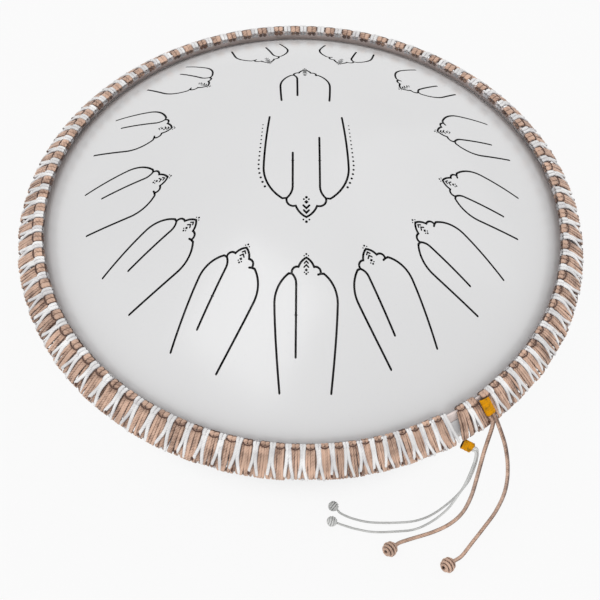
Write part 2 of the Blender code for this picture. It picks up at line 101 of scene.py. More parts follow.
# Rows of dots outside the large tongue: first value, and its change along the row
SIDE_DOTS = 16
SIDE_FRONT = (-20.2, 48.6)
SIDE_SPREAD = (26.5, 3.4)
SIDE_RADIUS = (0.48, 0.32)
SIDE_SHOULDER = 0.62

# Line of a knot's head over the lip: distance along it from the top, down the slope, above the seat
HEAD_LINE = ((-7.93, 4.6, -5.05), (-6.39, 3.2, -4.4), (-3.41, 0.5, -3.15), (-1.55, -1.1, -2.2),
             (0.0, -1.15, -0.65), (1.6, -0.15, 0.6), (3.3, 1.1, 1.75), (4.6, 2.4, 1.85), (6.6, 4.4, 1.75),
             (8.2, 6.0, 1.75))
HEAD_ROWS = 60

# Parts of a head: round the rim, along the head's line, above it, half-width, half-height
TAN_LOBE = ((1.3, -3.9, 0.0, 0.9, 0.5), (1.35, -2.7, 0.0, 1.3, 0.62), (1.45, -1.5, 0.0, 1.55, 0.7),
            (1.45, 0.0, 0.0, 1.65, 0.75), (1.5, 1.6, 0.0, 1.72, 0.8), (1.5, 3.2, 0.05, 1.75, 0.8),
            (1.5, 4.4, 0.0, 1.6, 0.7), (1.45, 5.1, -0.6, 1.3, 0.55), (1.4, 5.5, -1.2, 0.9, 0.4))
# The tie is a thin dark strand below each tan head, painted shadow of the groove there
TAN_TIE_SHADOW = ((-3.2, 4.6, 0.1, 0.62, 0.5), (-2.6, 5.1, 0.5, 0.45, 0.4), (-1.2, 5.55, 0.7, 0.42, 0.4),
           (0.0, 5.8, 0.65, 0.44, 0.4), (1.2, 5.55, 0.7, 0.42, 0.4), (2.6, 5.1, 0.5, 0.45, 0.4),
           (3.2, 4.6, 0.1, 0.62, 0.5))
WHITE_LOBE = ((0.95, -3.9, 0.0, 0.8, 0.5), (1.0, -2.7, 0.0, 1.0, 0.6), (1.05, -1.5, 0.0, 1.1, 0.68),
              (1.1, 0.0, 0.0, 1.18, 0.72), (1.15, 1.6, 0.1, 1.22, 0.76), (1.15, 3.3, 0.2, 1.2, 0.78),
              (1.05, 4.8, 0.2, 1.12, 0.72), (0.9, 6.0, -0.1, 1.0, 0.6), (0.75, 6.8, -0.8, 0.8, 0.45))

# Strands below a head: round the rim, down the slope, above the seat, half-width, half-height
TAN_OUTER = ((2.3, 3.1, 0.2, 0.85, 0.5), (2.45, 4.4, 1.2, 1.0, 0.72), (2.55, 7.5, 1.5, 1.05, 0.75),
             (2.75, 11.5, 1.45, 1.08, 0.75), (3.05, 15.2, 1.3, 1.1, 0.75), (3.3, 17.6, 1.0, 1.1, 0.7),
             (3.3, 18.8, 0.2, 0.95, 0.5), (3.2, 18.9, -0.6, 0.7, 0.4))
TAN_INNER = ((0.8, 3.3, 0.3, 0.8, 0.5), (0.85, 4.6, 1.35, 0.98, 0.75), (0.85, 7.5, 1.65, 1.0, 0.78),
             (0.95, 11.5, 1.6, 1.02, 0.78), (1.05, 15.2, 1.4, 1.05, 0.75), (1.15, 17.8, 1.05, 1.02, 0.7),
             (1.15, 18.9, 0.2, 0.9, 0.5), (1.1, 19.0, -0.6, 0.7, 0.4))
TAN_SPREAD = ((3.2, 3.4, 0.0, 0.95, 0.45), (4.0, 7.4, 0.25, 1.15, 0.55), (4.7, 12.2, 0.4, 1.25, 0.6),
              (5.0, 16.0, 0.35, 1.25, 0.6), (4.7, 18.6, -0.2, 1.1, 0.5), (4.2, 19.0, -0.9, 0.8, 0.4))
# The eye is a short dark strand in each tan loop, painted shadow of the hole there
TAN_EYE_SHADOW = ((3.3, 15.2, 1.5, 0.35, 0.3), (3.45, 16.2, 1.95, 0.8, 0.5), (3.6, 17.4, 1.5, 0.55, 0.4))
WHITE_LEFT = ((-0.8, 3.2, 0.9, 0.9, 0.55), (-0.75, 5.0, 1.9, 1.15, 0.68), (-0.7, 6.6, 2.3, 1.1, 0.7),
              (-1.2, 9.4, 2.2, 1.05, 0.7), (-2.0, 12.6, 1.9, 1.05, 0.68), (-2.7, 15.4, 1.7, 1.0, 0.65),
              (-3.0, 16.9, 1.3, 0.85, 0.5), (-3.1, 17.5, 0.6, 0.6, 0.35))
WHITE_RIGHT = ((0.8, 3.2, 0.9, 0.9, 0.55), (0.75, 5.0, 2.0, 1.15, 0.68), (0.75, 7.0, 2.4, 1.12, 0.7),
               (1.1, 10.6, 2.2, 1.08, 0.7), (1.8, 14.0, 1.9, 1.05, 0.68), (2.4, 16.9, 1.5, 1.0, 0.65),
               (2.6, 18.6, 0.9, 0.85, 0.5), (2.6, 19.1, 0.1, 0.6, 0.35))
RETURN = ((0.0, 17.8, 0.3, 1.4, 0.5), (0.0, 18.7, -1.2, 1.6, 0.5), (0.0, 18.6, -3.4, 1.6, 0.5),
          (0.0, 18.5, -5.8, 1.5, 0.45), (0.0, 18.9, -8.2, 1.3, 0.4), (0.0, 17.8, -10.0, 1.1, 0.4))

# The cover sits towards -X, so its ends are longer there
COVER_SHIFT = 1.3
# Here the heads are pulled furthest in over the lip, and bulge in past it
HEAD_PULL_AZIMUTH = math.radians(-60.0)
HEAD_SLIDE = 3.0
HEAD_BULGE = 0.5
# The tape of the upper wrap holds the heads under it and beside it in place
TAPE_REACH = math.radians(6.0)
# Strands lean away from the front, both ways round
LEAN = 1.3
LEAN_AZIMUTH = math.radians(-105.0)
# Strands on both sides of the gap at the lower wrap lean into it
GAP_DEGREES = -60.0
GAP_LEAN = 1.6
GAP_LEAN_DEGREES = 16.0

# The cover was knotted by hand: each knot's place drifts from an even step by these waves, in degrees
KNOTS = 96
FIRST_KNOT = -183.53
DRIFT = ((1, 8.66, -0.53), (2, -4.94, 2.03), (3, -0.61, -0.20))
MISSING_TAN = (35,)
MISSING_WHITE = (35, 37)
# Where the knots' pitch is taken, outside the face's edge, and the pitch that the tables are for
KNOT_LINE = 4.0 * MM
EVEN_PITCH = 11.4 * MM
# Share of the tan knots that have no dark eye, a painted shadow, at their lower end
EYES_LEFT_OUT = 0.3
# How far chance takes a knot or a strand either way
CHANCE_PLACE = 0.15
CHANCE_SLIDE = 0.4
CHANCE_SHADE = 0.1
CHANCE_LEAN = 0.6
CHANCE_BOW = 0.5
# A knot is squeezed or spread with its pitch between these shares
SQUEEZE_LIMITS = (0.82, 1.12)
# Distance down the slope over which a strand leans and bows
STRAND_LENGTH = 19.0

# Loose cords, from the wrap over the rim, down and along the floor
LEFT_TAN_ROUTE = (
    (107.0, -161.0, 86.0), (105.7, -167.0, 64.0), (105.3, -169.6, 40.0), (102.6, -171.5, 19.0),
    (96.0, -173.5, 5.2), (85.0, -177.6, 1.5), (72.0, -181.8, 1.5), (63.6, -185.0, 2.4))
RIGHT_TAN_ROUTE = (
    (120.4, -156.2, 84.0), (125.0, -162.2, 63.0), (127.0, -165.6, 39.0), (124.6, -169.4, 17.0),
    (118.4, -175.4, 4.6), (110.3, -184.6, 1.5), (103.0, -193.4, 1.6))
UPPER_WHITE_ROUTE = (
    (104.0, -160.8, 79.0), (103.9, -162.4, 70.5), (103.2, -163.7, 60.0), (101.8, -164.7, 49.0),
    (96.6, -166.0, 30.0), (87.4, -167.2, 10.0), (78.0, -168.8, 1.6), (66.6, -170.6, 0.9),
    (47.0, -170.8, 0.9), (34.7, -168.4, 0.9), (26.4, -165.0, 1.6))
LOWER_WHITE_ROUTE = (
    (102.6, -162.7, 78.0), (101.6, -165.0, 69.0), (100.0, -167.5, 59.0), (97.6, -169.9, 48.5),
    (91.4, -173.0, 27.0), (81.6, -174.8, 9.0), (70.0, -176.2, 0.9), (49.0, -177.4, 0.9),
    (36.5, -175.5, 0.9), (27.4, -173.0, 1.6))

# The cords on each wrap: label, side of the wrap, route and where the ball knot lies
TAN_TAILS = (("left_tan", -1.0, LEFT_TAN_ROUTE, (56.8, -190.4)),
             ("right_tan", 1.0, RIGHT_TAN_ROUTE, (93.1, -200.8)))
WHITE_TAILS = (("upper_white", 1.0, UPPER_WHITE_ROUTE, (21.4, -160.6)),
               ("lower_white", -1.0, LOWER_WHITE_ROUTE, (20.2, -171.2)))
# Ball knots: thickness of their strands, turns, points in each turn and in the strand across them
TAN_BALL_STRAND = 1.9 * MM
WHITE_BALL_STRAND = 1.3 * MM
BALL_TURNS = 5.5
TURN_POINTS = 16
BAND_POINTS = 18
# Straight start of a loose cord and the spacing of its points, in diameters
LOOSE_STRETCH = 2.0
LOOSE_SPACING = 3.0
# Room between pieces, and under what lies on the floor
GAP = 0.3 * MM
FLOOR_GAP = 0.05 * MM

# Tape wraps: length, width and thickness, then where each lies on the cover's slope
UPPER_WRAP_SIZE = (11.0 * MM, 6.8 * MM, 3.0 * MM)
UPPER_WRAP_START = 0.4 * MM
UPPER_WRAP_AZIMUTH = math.radians(-53.0)
UPPER_WRAP_RISE = 4.4 * MM
LOWER_WRAP_SIZE = (7.5 * MM, 6.5 * MM, 2.4 * MM)
LOWER_WRAP_START = 23.4 * MM
LOWER_WRAP_RISE = -3.1 * MM
LOWER_WRAP_AZIMUTH = math.radians(-58.9)
LOWER_WRAP_TILT = math.radians(52.0)
WRAP_ROWS = 15

FOOT_INSET = 17.0 * MM
FOOT_HOLE = 3.3 * MM

# Place of the camera and its turns in degrees, and the lamps' places and widths
CAMERA_PLACE = (-0.01672, -0.4565, 0.6877)
CAMERA_TURNS = ((-2.0981, "Z"), (33.7881, "X"), (2.3039, "Z"))
SENSOR_WIDTH = 36.0
KEY_LAMP = ((-0.4, -0.55, 1.35), 1.0)
FILL_LAMP = ((0.8, 0.5, 0.9), 1.2)
LAMP_AIM = (0.0, 0.0, 0.1)
FLOOR_SIZE = 4.0
# Between these distances from the axis, under the drum, shaded floor turns into lit backdrop
CLEAR_FLOOR = (0.10, 0.16)


def setting(label, note, value, **more):
    return FloatProperty(name=label, description=note, default=value, **more)


def size(label, note, millimetres):
    return setting(label, note, millimetres * MM, unit="LENGTH")


def colour(label, note, rgb):
    return FloatVectorProperty(name=label, description=note, default=rgb, size=3, subtype="COLOR",
                               min=0.0, max=1.0)


class DrumShellSizes(bpy.types.PropertyGroup):
    face_radius: size("Face radius", "From the axis to the dome's edge", 174.0)
    face_height: size("Face height", "Height of the flange's top above the floor", 96.0)
    dome_height: size("Dome height", "Rise of the dome above the flange", 76.2)
    dome_shoulder: setting("Dome shoulder", "Share of the rise that falls late", 0.062)
    top_wall: size("Top wall", "Thickness of the domed sheet", 2.0)
    flange: size("Flange width", "Width of the flat flange", 3.5)
    bowl_wall: size("Bowl wall", "Thickness of the bowl", 1.6)
    bowl_depth: size("Bowl depth", "From the flange's top down to the base", 87.7)
    base_radius: size("Base radius", "Radius of the flat base", 95.0)
    sound_hole: size("Sound hole", "Radius of the hole in the base", 30.0)
    slot: size("Slot width", "Width of the cut round each tongue", 1.3)


class DrumCoverSizes(bpy.types.PropertyGroup):
    lip_height: size("Lip height", "Rise of the upstand round the face", 10.9)
    lip_lean: size("Lip lean", "How far the upstand leans in over the face", 4.8)
    lip_wall: size("Lip wall", "Thickness of the upstand with its band", 1.5)
    ring_wall: size("Ring wall", "Thickness of the ring", 1.4)
    ring_limb: size("Ring limb", "Reach of the ring under the flange", 2.8)
    band_fold: size("Band fold", "Depth of the band over the ring's edge", 6.0)
    band_leg: size("Band leg", "Thickness of the band inside the lip", 0.6)
    slope: setting("Slope", "Fall of the fringe", math.radians(41.0), subtype="ANGLE")
    seat: size("Seat", "Gap between the lip's corner and the cords", 0.5)
    seed: IntProperty(name="Seed", description="Seed for the hand-made differences between knots",
                      default=11)


class DrumCordSizes(bpy.types.PropertyGroup):
    tan_cord: size("Tan cord", "Thickness of the tan cord", 2.5)
    white_cord: size("White cord", "Thickness of the white cord", 1.5)
    tan_knot: size("Tan knot", "Radius of the tan ball knots", 5.0)
    white_knot: size("White knot", "Radius of the white ball knots", 3.5)
    foot_height: size("Foot height", "Height of the rubber feet", 8.0)
    foot_radius: size("Foot radius", "Radius of the rubber feet", 11.0)


class DrumColours(bpy.types.PropertyGroup):
    paint: colour("White paint", "Powder coat on the domed face", (0.65, 0.65, 0.655))
    grey_paint: colour("Grey paint", "Powder coat on the ring and the bowl", (0.74, 0.74, 0.745))
    # The near-black inside is partly primer and cut edges, partly painted shade that keeps the slots
    # black
    inside: colour("Inside", "Primer inside the shell and in the slots", (0.022, 0.022, 0.024))
    taupe: colour("Taupe band", "Soft band inside the lip", (0.88, 0.76, 0.72))
    tan: colour("Tan cord", "Tan cord in the light", (0.70, 0.465, 0.345))
    # The crease colours are painted shade, for where strands meet, ply hollows and undersides
    tan_crease_shade: colour("Tan crease", "Tan cord between its strands", (0.085, 0.033, 0.018))
    white: colour("White cord", "White cord in the light", (0.90, 0.895, 0.89))
    white_crease_shade: colour("White crease", "White cord between its strands", (0.52, 0.50, 0.51))
    tail: colour("White tail", "Waxed white cord of the loose ends", (0.70, 0.705, 0.69))
    amber: colour("Amber tape", "Tape wound round the cord ends", (0.72, 0.30, 0.002))
    rubber: colour("Rubber", "Feet", (0.018, 0.018, 0.018))


class DrumStage(bpy.types.PropertyGroup):
    key_power: setting("Key lamp", "Soft lamp in front on the left", 4.3, unit="POWER")
    fill_power: setting("Fill lamp", "Soft lamp behind on the right", 1.2, unit="POWER")
    ambient: setting("Ambient", "Strength of the even light", 0.90)
    lens: setting("Lens", "Focal length on a 36 mm sensor", 67.4215)


class Wire:
    """An output of a material's nodes, on which shader maths is written as plain expressions."""

    def __init__(self, finish, socket):
        self.finish = finish
        self.socket = socket

    def maths(self, operation, *values):
        return self.finish.node("ShaderNodeMath", {"operation": operation}, dict(enumerate(values)))

    def __add__(self, other):
        return self.maths("ADD", self, other)

    def __radd__(self, other):
        return self.maths("ADD", other, self)

    def __sub__(self, other):
        return self.maths("SUBTRACT", self, other)

    def __rsub__(self, other):
        return self.maths("SUBTRACT", other, self)

    def __mul__(self, other):
        return self.maths("MULTIPLY", self, other)

    def __rmul__(self, other):
        return self.maths("MULTIPLY", other, self)

    def __pow__(self, other):
        return self.maths("POWER", self, other)

    def __abs__(self):
        return self.maths("ABSOLUTE", self)

    def wave(self):
        return self.maths("SINE", self) * 0.5 + 0.5

    def angle_to(self, other):
        return self.maths("ARCTAN2", self, other)

    def step(self, low, high):
        """Smoothly from 0 at low to 1 at high."""
        return self.finish.node("ShaderNodeMapRange", {"interpolation_type": "SMOOTHSTEP"},
                                {"Value": self, "From Min": low, "From Max": high})


class Nodes:
    """Adds nodes to a tree."""

    def __init__(self, tree):
        self.tree = tree

    def node(self, kind, settings, values, output=0):
        """Add a node with its settings and its sockets' values or links, and give back one output."""
        made = self.tree.nodes.new(kind)
        for key, value in settings.items():
            setattr(made, key, value)
        for key, value in values.items():
            self.connect(made.inputs[key], value)
        return Wire(self, made.outputs[output])

    def connect(self, socket, value):
        if isinstance(value, Wire):
            self.tree.links.new(value.socket, socket)
        elif hasattr(value, "__len__") and socket.type == "RGBA":
            socket.default_value = (*value, 1.0)[:4]
        else:
            socket.default_value = value


class Finish(Nodes):
    """A material, with short calls that add the nodes of its looks."""

    def __init__(self, name, roughness, sheen=0.0):
        self.material = bpy.data.materials.new(f"{name}_finish")
        self.material.use_nodes = True
        super().__init__(self.material.node_tree)
        self.shader = self.tree.nodes["Principled BSDF"]
        self.feed("Roughness", roughness)
        self.feed("Sheen Weight", sheen)

    def feed(self, name, value):
        self.connect(self.shader.inputs[name], value)

    def place(self):
        return self.node("ShaderNodeTexCoord", {}, {}, "Object")

    def coordinate(self, axis, vector):
        return self.node("ShaderNodeSeparateXYZ", {}, {"Vector": vector}, axis)

    def vector(self, x, y, z):
        return self.node("ShaderNodeCombineXYZ", {}, {"X": x, "Y": y, "Z": z})

    def carried(self, name):
        """A number that the mesh carries at each vertex."""
        return self.node("ShaderNodeAttribute", {"attribute_name": name}, {}, "Fac")

    def noise(self, vector, scale, detail=2.0, roughness=0.5):
        values = {"Vector": vector, "Scale": scale, "Detail": detail, "Roughness": roughness}
        return self.node("ShaderNodeTexNoise", {}, values)

    def mix(self, share, first, second):
        return self.node("ShaderNodeMix", {"data_type": "RGBA"}, {0: share, 6: first, 7: second}, 2)

    def relief(self, height, depth, strength=1.0):
        """Bump of a real depth in metres, from a height of 0 to 1."""
        values = {"Height": height, "Distance": depth, "Strength": strength}
        self.feed("Normal", self.node("ShaderNodeBump", {}, values))


def darker(rgb, share):
    return tuple(channel * share for channel in rgb)


def powder_coat(name, rgb, roughness):
    """Baked powder paint: even colour with faint clouds, and a fine orange-peel surface."""
    finish = Finish(name, roughness)
    finish.feed("Specular IOR Level", 0.9)
    place = finish.place()
    clouds = finish.noise(place, 9.0, 3.0)
    specks = finish.noise(place, 700.0, 1.0).step(0.70, 0.78)
    base = finish.mix(clouds.step(0.3, 0.7), rgb, darker(rgb, 0.975))
    finish.feed("Base Color", finish.mix(specks * 0.12, base, darker(rgb, 0.7)))
    finish.feed("Roughness", roughness - 0.04 + 0.08 * finish.noise(place, 26.0, 2.0))
    peel = finish.noise(place, 420.0, 2.0) * 0.7 + finish.noise(place, 1500.0, 1.0) * 0.3
    finish.relief(peel, 0.05 * MM, 0.35)
    return finish.material


# Primer for the inside and the slot walls, made near-black in part as painted shade
def primer(name, rgb):
    finish = Finish(name, 0.7)
    spots = finish.noise(finish.place(), 300.0, 3.0)
    finish.feed("Base Color", finish.mix(spots.step(0.35, 0.75), rgb, darker(rgb, 0.55)))
    finish.relief(spots, 0.1 * MM, 0.5)
    return finish.material


def soft_band(name, rgb):
    """Coated fabric band: fine ribs across it, scuffed lighter here and there."""
    finish = Finish(name, 0.62, sheen=0.15)
    place = finish.place()
    x, y = [finish.coordinate(axis, place) for axis in "XY"]
    ribs = (y.angle_to(x) * 900.0).wave()
    grain = finish.noise(place, 900.0, 3.0)
    scuff = finish.noise(place, 60.0, 4.0, 0.6)
    shade = finish.mix(scuff.step(0.35, 0.7), darker(rgb, 0.88), rgb)
    finish.feed("Base Color", finish.mix(grain.step(0.6, 0.8) * 0.35, shade, darker(rgb, 0.6)))
    finish.feed("Roughness", 0.55 + 0.2 * grain)
    finish.relief(ribs * 0.5 + grain * 0.5, 0.12 * MM, 0.5)
    return finish.material


def cord_finish(name, light, crease, pitch, plies, roughness, edge=0.55, depth=1.6):
    """Twisted cord: plies that wind round it, fine fibres along them, painted shade where strands meet.
    """
    finish = Finish(name, roughness, sheen=0.25)
    along, side, rise, tone_and_shade = [finish.carried(layer) for layer in CORD_LAYERS]
    turn = rise.angle_to(side)
    twist = (turn * plies + along * (2.0 * math.pi / pitch)).wave()
    fibres = finish.noise(finish.vector(side * 2.6, rise * 2.6, along * 420.0), 2.2, 3.0, 0.6)
    fuzz = finish.noise(finish.place(), 1400.0, 2.0)
    patches = finish.noise(finish.place(), 210.0, 2.0)
    faded = finish.noise(finish.place(), 75.0, 1.0).step(0.35, 0.65)
    # Painted shade: darker in the hollows between the plies, towards each strand's edges and on its
    # underside
    hollow_shade = (1.0 - twist.step(0.0, 0.42)) * 0.30
    flank_shade = abs(side).step(edge, 1.0) * 0.7 + (0.0 - rise).step(-0.1, 0.6) * 0.75
    # How far each point turns to the crease colour: this painted shade, random fibres and patches, and
    # the carried tone
    shade = (hollow_shade + flank_shade + (fibres - 0.5) * 0.9 + (patches - 0.5) * depth + tone_and_shade).step(-0.25, 1.2)
    worn = finish.mix(faded * 0.7, light, darker(light, 0.68))
    finish.feed("Base Color", finish.mix(shade, worn, crease))
    finish.feed("Roughness", roughness - 0.08 + 0.16 * fibres)
    finish.relief(twist * 0.6 + fibres * 0.25 + fuzz * 0.15, 0.25 * MM, 0.9)
    return finish.material


def tape_finish(name, rgb):
    """Amber tape, wound tight and wrinkled, with darker dirt patches and painted shade in the creases
    between turns.
    """
    finish = Finish(name, 0.45)
    finish.feed("Specular IOR Level", 0.05)
    place = finish.place()
    along = finish.carried("along")
    turns = (along * (2.0 * math.pi / (1.5 * MM))).wave()
    wrinkle = finish.noise(place, 420.0, 4.0, 0.65)
    dirt = finish.noise(place, 330.0, 4.0, 0.7).step(0.50, 0.64)
    ends = finish.carried("tone_and_shade").step(0.55, 1.0)
    body = finish.mix(wrinkle.step(0.42, 0.60), rgb, (0.60, 0.26, 0.006))
    # Dirt patches, and painted shade in the creases between the turns
    dirt_and_crease_shade = finish.mix(dirt * 0.7 + (1.0 - turns.step(0.0, 0.25)) * 0.25, body, (0.22, 0.12, 0.01))
    finish.feed("Base Color", finish.mix(ends, dirt_and_crease_shade, (0.06, 0.035, 0.012)))
    finish.feed("Roughness", 0.26 + 0.25 * wrinkle)
    finish.relief(wrinkle * 0.6 + turns * 0.4, 0.3 * MM, 0.8)
    return finish.material


def rubber_finish(name, rgb):
    finish = Finish(name, 0.7)
    place = finish.place()
    grain = finish.noise(place, 1600.0, 2.0)
    dust = finish.noise(place, 120.0, 4.0, 0.6).step(0.5, 0.8)
    finish.feed("Base Color", finish.mix(dust * 0.25, rgb, (0.10, 0.10, 0.095)))
    finish.feed("Roughness", 0.62 + 0.2 * grain)
    finish.relief(grain, 0.05 * MM, 0.6)
    return finish.material


def finishes(context):
    """A call that gives a finish by name, made once."""
    c = context.scene.drum_colours
    makers = {
        "white_powder_coat": (powder_coat, c.paint, 0.24),
        "grey_powder_coat": (powder_coat, c.grey_paint, 0.5),
        "inside_primer": (primer, c.inside),
        "taupe_band": (soft_band, c.taupe),
        "tan_cord": (cord_finish, c.tan, c.tan_crease_shade, 1.9 * MM, 3.0, 0.72),
        "white_cord": (cord_finish, c.white, c.white_crease_shade, 1.7 * MM, 3.0, 0.72),
        # The loose tails' crease colour is painted shade, a darker copy of their own colour
        "white_tail": (cord_finish, c.tail, darker(c.tail, 0.62), 1.6 * MM, 2.0, 0.5, 0.8, 0.8),
        "amber_tape": (tape_finish, c.amber),
        "black_rubber": (rubber_finish, c.rubber),
    }

    def coat(name):
        maker, *values = makers[name]
        return bpy.data.materials.get(f"{name}_finish") or maker(name, *values)

    return coat


def finish_piece(made, slot, *nodes):
    """The finished piece rides with the drum and stands for its CAD nodes; slot is not used."""
    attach(made, BODY)
    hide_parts(*nodes)


def piece(name, bm, materials, sharp=35.0):
    """Turn a finished bmesh into an object at the origin with smooth faces and its materials."""
    mesh = bpy.data.meshes.new(name)
    bm.to_mesh(mesh)
    bm.free()
    mesh.shade_smooth()
    mesh.set_sharp_from_angle(angle=math.radians(sharp))
    for material in materials:
        mesh.materials.append(material)
    made = bpy.data.objects.new(name, mesh)
    bpy.context.scene.collection.objects.link(made)
    return made


def revolve(profile, steps, closed=True):
    """Spin a profile of (radius, height) points about Z, joined up at both ends if closed."""
    bm = bmesh.new()
    ring = [bm.verts.new((radius, 0.0, height)) for radius, height in profile]
    edges = [bm.edges.new(pair) for pair in zip(ring, ring[1:])]
    if closed:
        edges.append(bm.edges.new((ring[-1], ring[0])))
    bmesh.ops.spin(bm, geom=ring + edges, cent=(0.0, 0.0, 0.0), axis=UPRIGHT,
                   angle=2.0 * math.pi, steps=steps, use_merge=True)
    bmesh.ops.remove_doubles(bm, verts=bm.verts, dist=1e-6)
    bmesh.ops.recalc_face_normals(bm, faces=bm.faces)
    return bm


def arc(start, end, bulge, steps):
    """Points after start on the arc to end, whose rise is bulge times the chord, to its left."""
    a = Vector(start)
    b = Vector(end)
    chord = b - a
    side = Vector((-chord.y, chord.x))
    half = 2.0 * math.atan(2.0 * bulge)
    points = []
    for i in range(1, steps + 1):
        angle = half * (2.0 * i / steps - 1.0)
        along = 0.5 + 0.5 * math.sin(angle) / math.sin(half)
        rise = 0.5 * (math.cos(angle) - math.cos(half)) / math.sin(half)
        points.append(tuple(a + chord * along + side * rise))
    return points


def dome_height(shell, radius):
    share = radius / shell.face_radius
    late = shell.dome_shoulder
    return shell.dome_height * (1.0 - (1.0 - late) * share ** 2 - late * share ** 4)


def dome_slope(shell, radius):
    share = radius / shell.face_radius
    late = shell.dome_shoulder
    return -shell.dome_height / shell.face_radius * (2.0 * (1.0 - late) * share + 4.0 * late * share ** 3)


def dome_profile(shell, rings):
    outer = []
    inner = []
    for i in range(rings + 1):
        radius = shell.face_radius * i / rings
        height = shell.face_height + dome_height(shell, radius)
        slope = dome_slope(shell, radius)
        reach = shell.top_wall / math.hypot(slope, 1.0)
        outer.append((radius, height))
        inner.append((radius + slope * reach, height - reach))
    under = shell.face_height - shell.top_wall
    corner = inner[-1][0] + (under - inner[-1][1]) / dome_slope(shell, shell.face_radius)
    rim = shell.face_radius + shell.flange
    return outer + [(rim, shell.face_height), (rim, under), (corner, under)] + inner[::-1]


def half_outline(length, scale):
    """One side of a tongue from its tip to its root, in millimetres."""
    corners = (NOTCH, LOBE_END, HUMP, SHOULDER)
    notch, lobe_end, hump, shoulder = [(w * scale, s * scale) for w, s in corners]
    points = [(0.0, 0.0)]
    points += arc(points[-1], notch, -0.10, 5)
    points += arc(notch, lobe_end, -0.30, 7)
    points.append(hump)
    points += arc(hump, shoulder, -0.118, 10)
    run = length - shoulder[1]
    for i in range(1, 9):
        reach = run * i / 8.0
        fall = SIDE_TAPER * reach * math.sqrt(reach / TAPER_REACH)
        points.append((shoulder[0] - fall, shoulder[1] + reach))
    return points


def inner_slot(end, scale):
    start = (LOBE_END[0] * scale, LOBE_END[1] * scale)
    bend = (INNER_SLOT_OFFSET * scale, INNER_SLOT_START * scale)
    return [start] + arc(start, bend, 0.10, 5) + [(bend[0], end)]


def strip(points, width):
    """Outline of a strip of even width along a line of points, mitred, with round ends."""
    line = [Vector(p) for p in points]
    left = []
    right = []
    for i, point in enumerate(line):
        before = (point - line[i - 1]).normalized() if i else (line[1] - point).normalized()
        after = (line[i + 1] - point).normalized() if i < len(line) - 1 else before
        normal = Vector((-(before + after).y, (before + after).x)).normalized()
        reach = 0.5 * width / max(normal.dot(Vector((-before.y, before.x))), 0.4)
        left.append(point + normal * reach)
        right.append(point - normal * reach)
    caps = []
    for end, side in ((line[-1], left[-1]), (line[0], right[0])):
        caps.append([end + Matrix.Rotation(-turn, 2) @ (side - end) for turn in (0.8, 1.57, 2.34)])
    return left + caps[0] + right[::-1] + caps[1]


class TonguePlace:
    """Takes a point of a tongue, half-width and distance from its tip in millimetres, to the drum."""

    def __init__(self, tip, direction, way):
        self.along = Vector((math.cos(direction), math.sin(direction)))
        self.across = Vector((-self.along.y, self.along.x))
        self.tip = tip
        self.way = way

    def point(self, w, s):
        return (self.along * (self.tip + self.way * s) + self.across * w) * MM

    def line(self, points, side=1.0):
        return [self.point(side * w, s) for w, s in points]


def of_kind(made, kind):
    return [item for item in made["geom"] if isinstance(item, kind)]


def add_prism(bm, outline, low, high):
    face = bm.faces.new([bm.verts.new((p.x, p.y, low)) for p in outline])
    raised = bmesh.ops.extrude_face_region(bm, geom=[face])
    bmesh.ops.translate(bm, verts=of_kind(raised, bmesh.types.BMVert), vec=(0.0, 0.0, high - low))


def add_dot(bm, centre, radius, low, high, segments=10):
    place = Matrix.Translation((centre.x, centre.y, 0.5 * (low + high)))
    bmesh.ops.create_cone(bm, cap_ends=True, segments=segments, radius1=radius, radius2=radius,
                          depth=high - low, matrix=place)


def tongues():
    """Each tongue's place, length, scale and inner slots as (side, end)."""
    plan = []
    for i in range(OUTER_TONGUES):
        tip = TIP_RADII[min(i, OUTER_TONGUES - i)]
        length = ROOT_RADII[i] - tip
        direction = -0.5 * math.pi + 2.0 * math.pi * i / OUTER_TONGUES
        plan.append((TonguePlace(tip, direction, 1.0), length, 1.0, [(-1.0, 0.62 * length + 9.3)]))
    for spec, direction in ((LARGE_TONGUE, -0.5 * math.pi), (SMALL_TONGUE, 0.5 * math.pi)):
        place = TonguePlace(spec["tip"], direction, -1.0)
        plan.append((place, spec["length"], spec["scale"], spec["inner"]))
    return plan


def side_dots():
    """Rows of dots outside the large tongue, growing towards the front and curving in at its shoulder."""
    for i in range(SIDE_DOTS):
        share = i / (SIDE_DOTS - 1)
        front, spread, radius = [a + b * share for a, b in (SIDE_FRONT, SIDE_SPREAD, SIDE_RADIUS)]
        spread -= 5.2 * max(0.0, share - SIDE_SHOULDER) ** 2 / 0.144
        for side in (-1.0, 1.0):
            yield Vector((side * spread, -front)) * MM, radius * MM


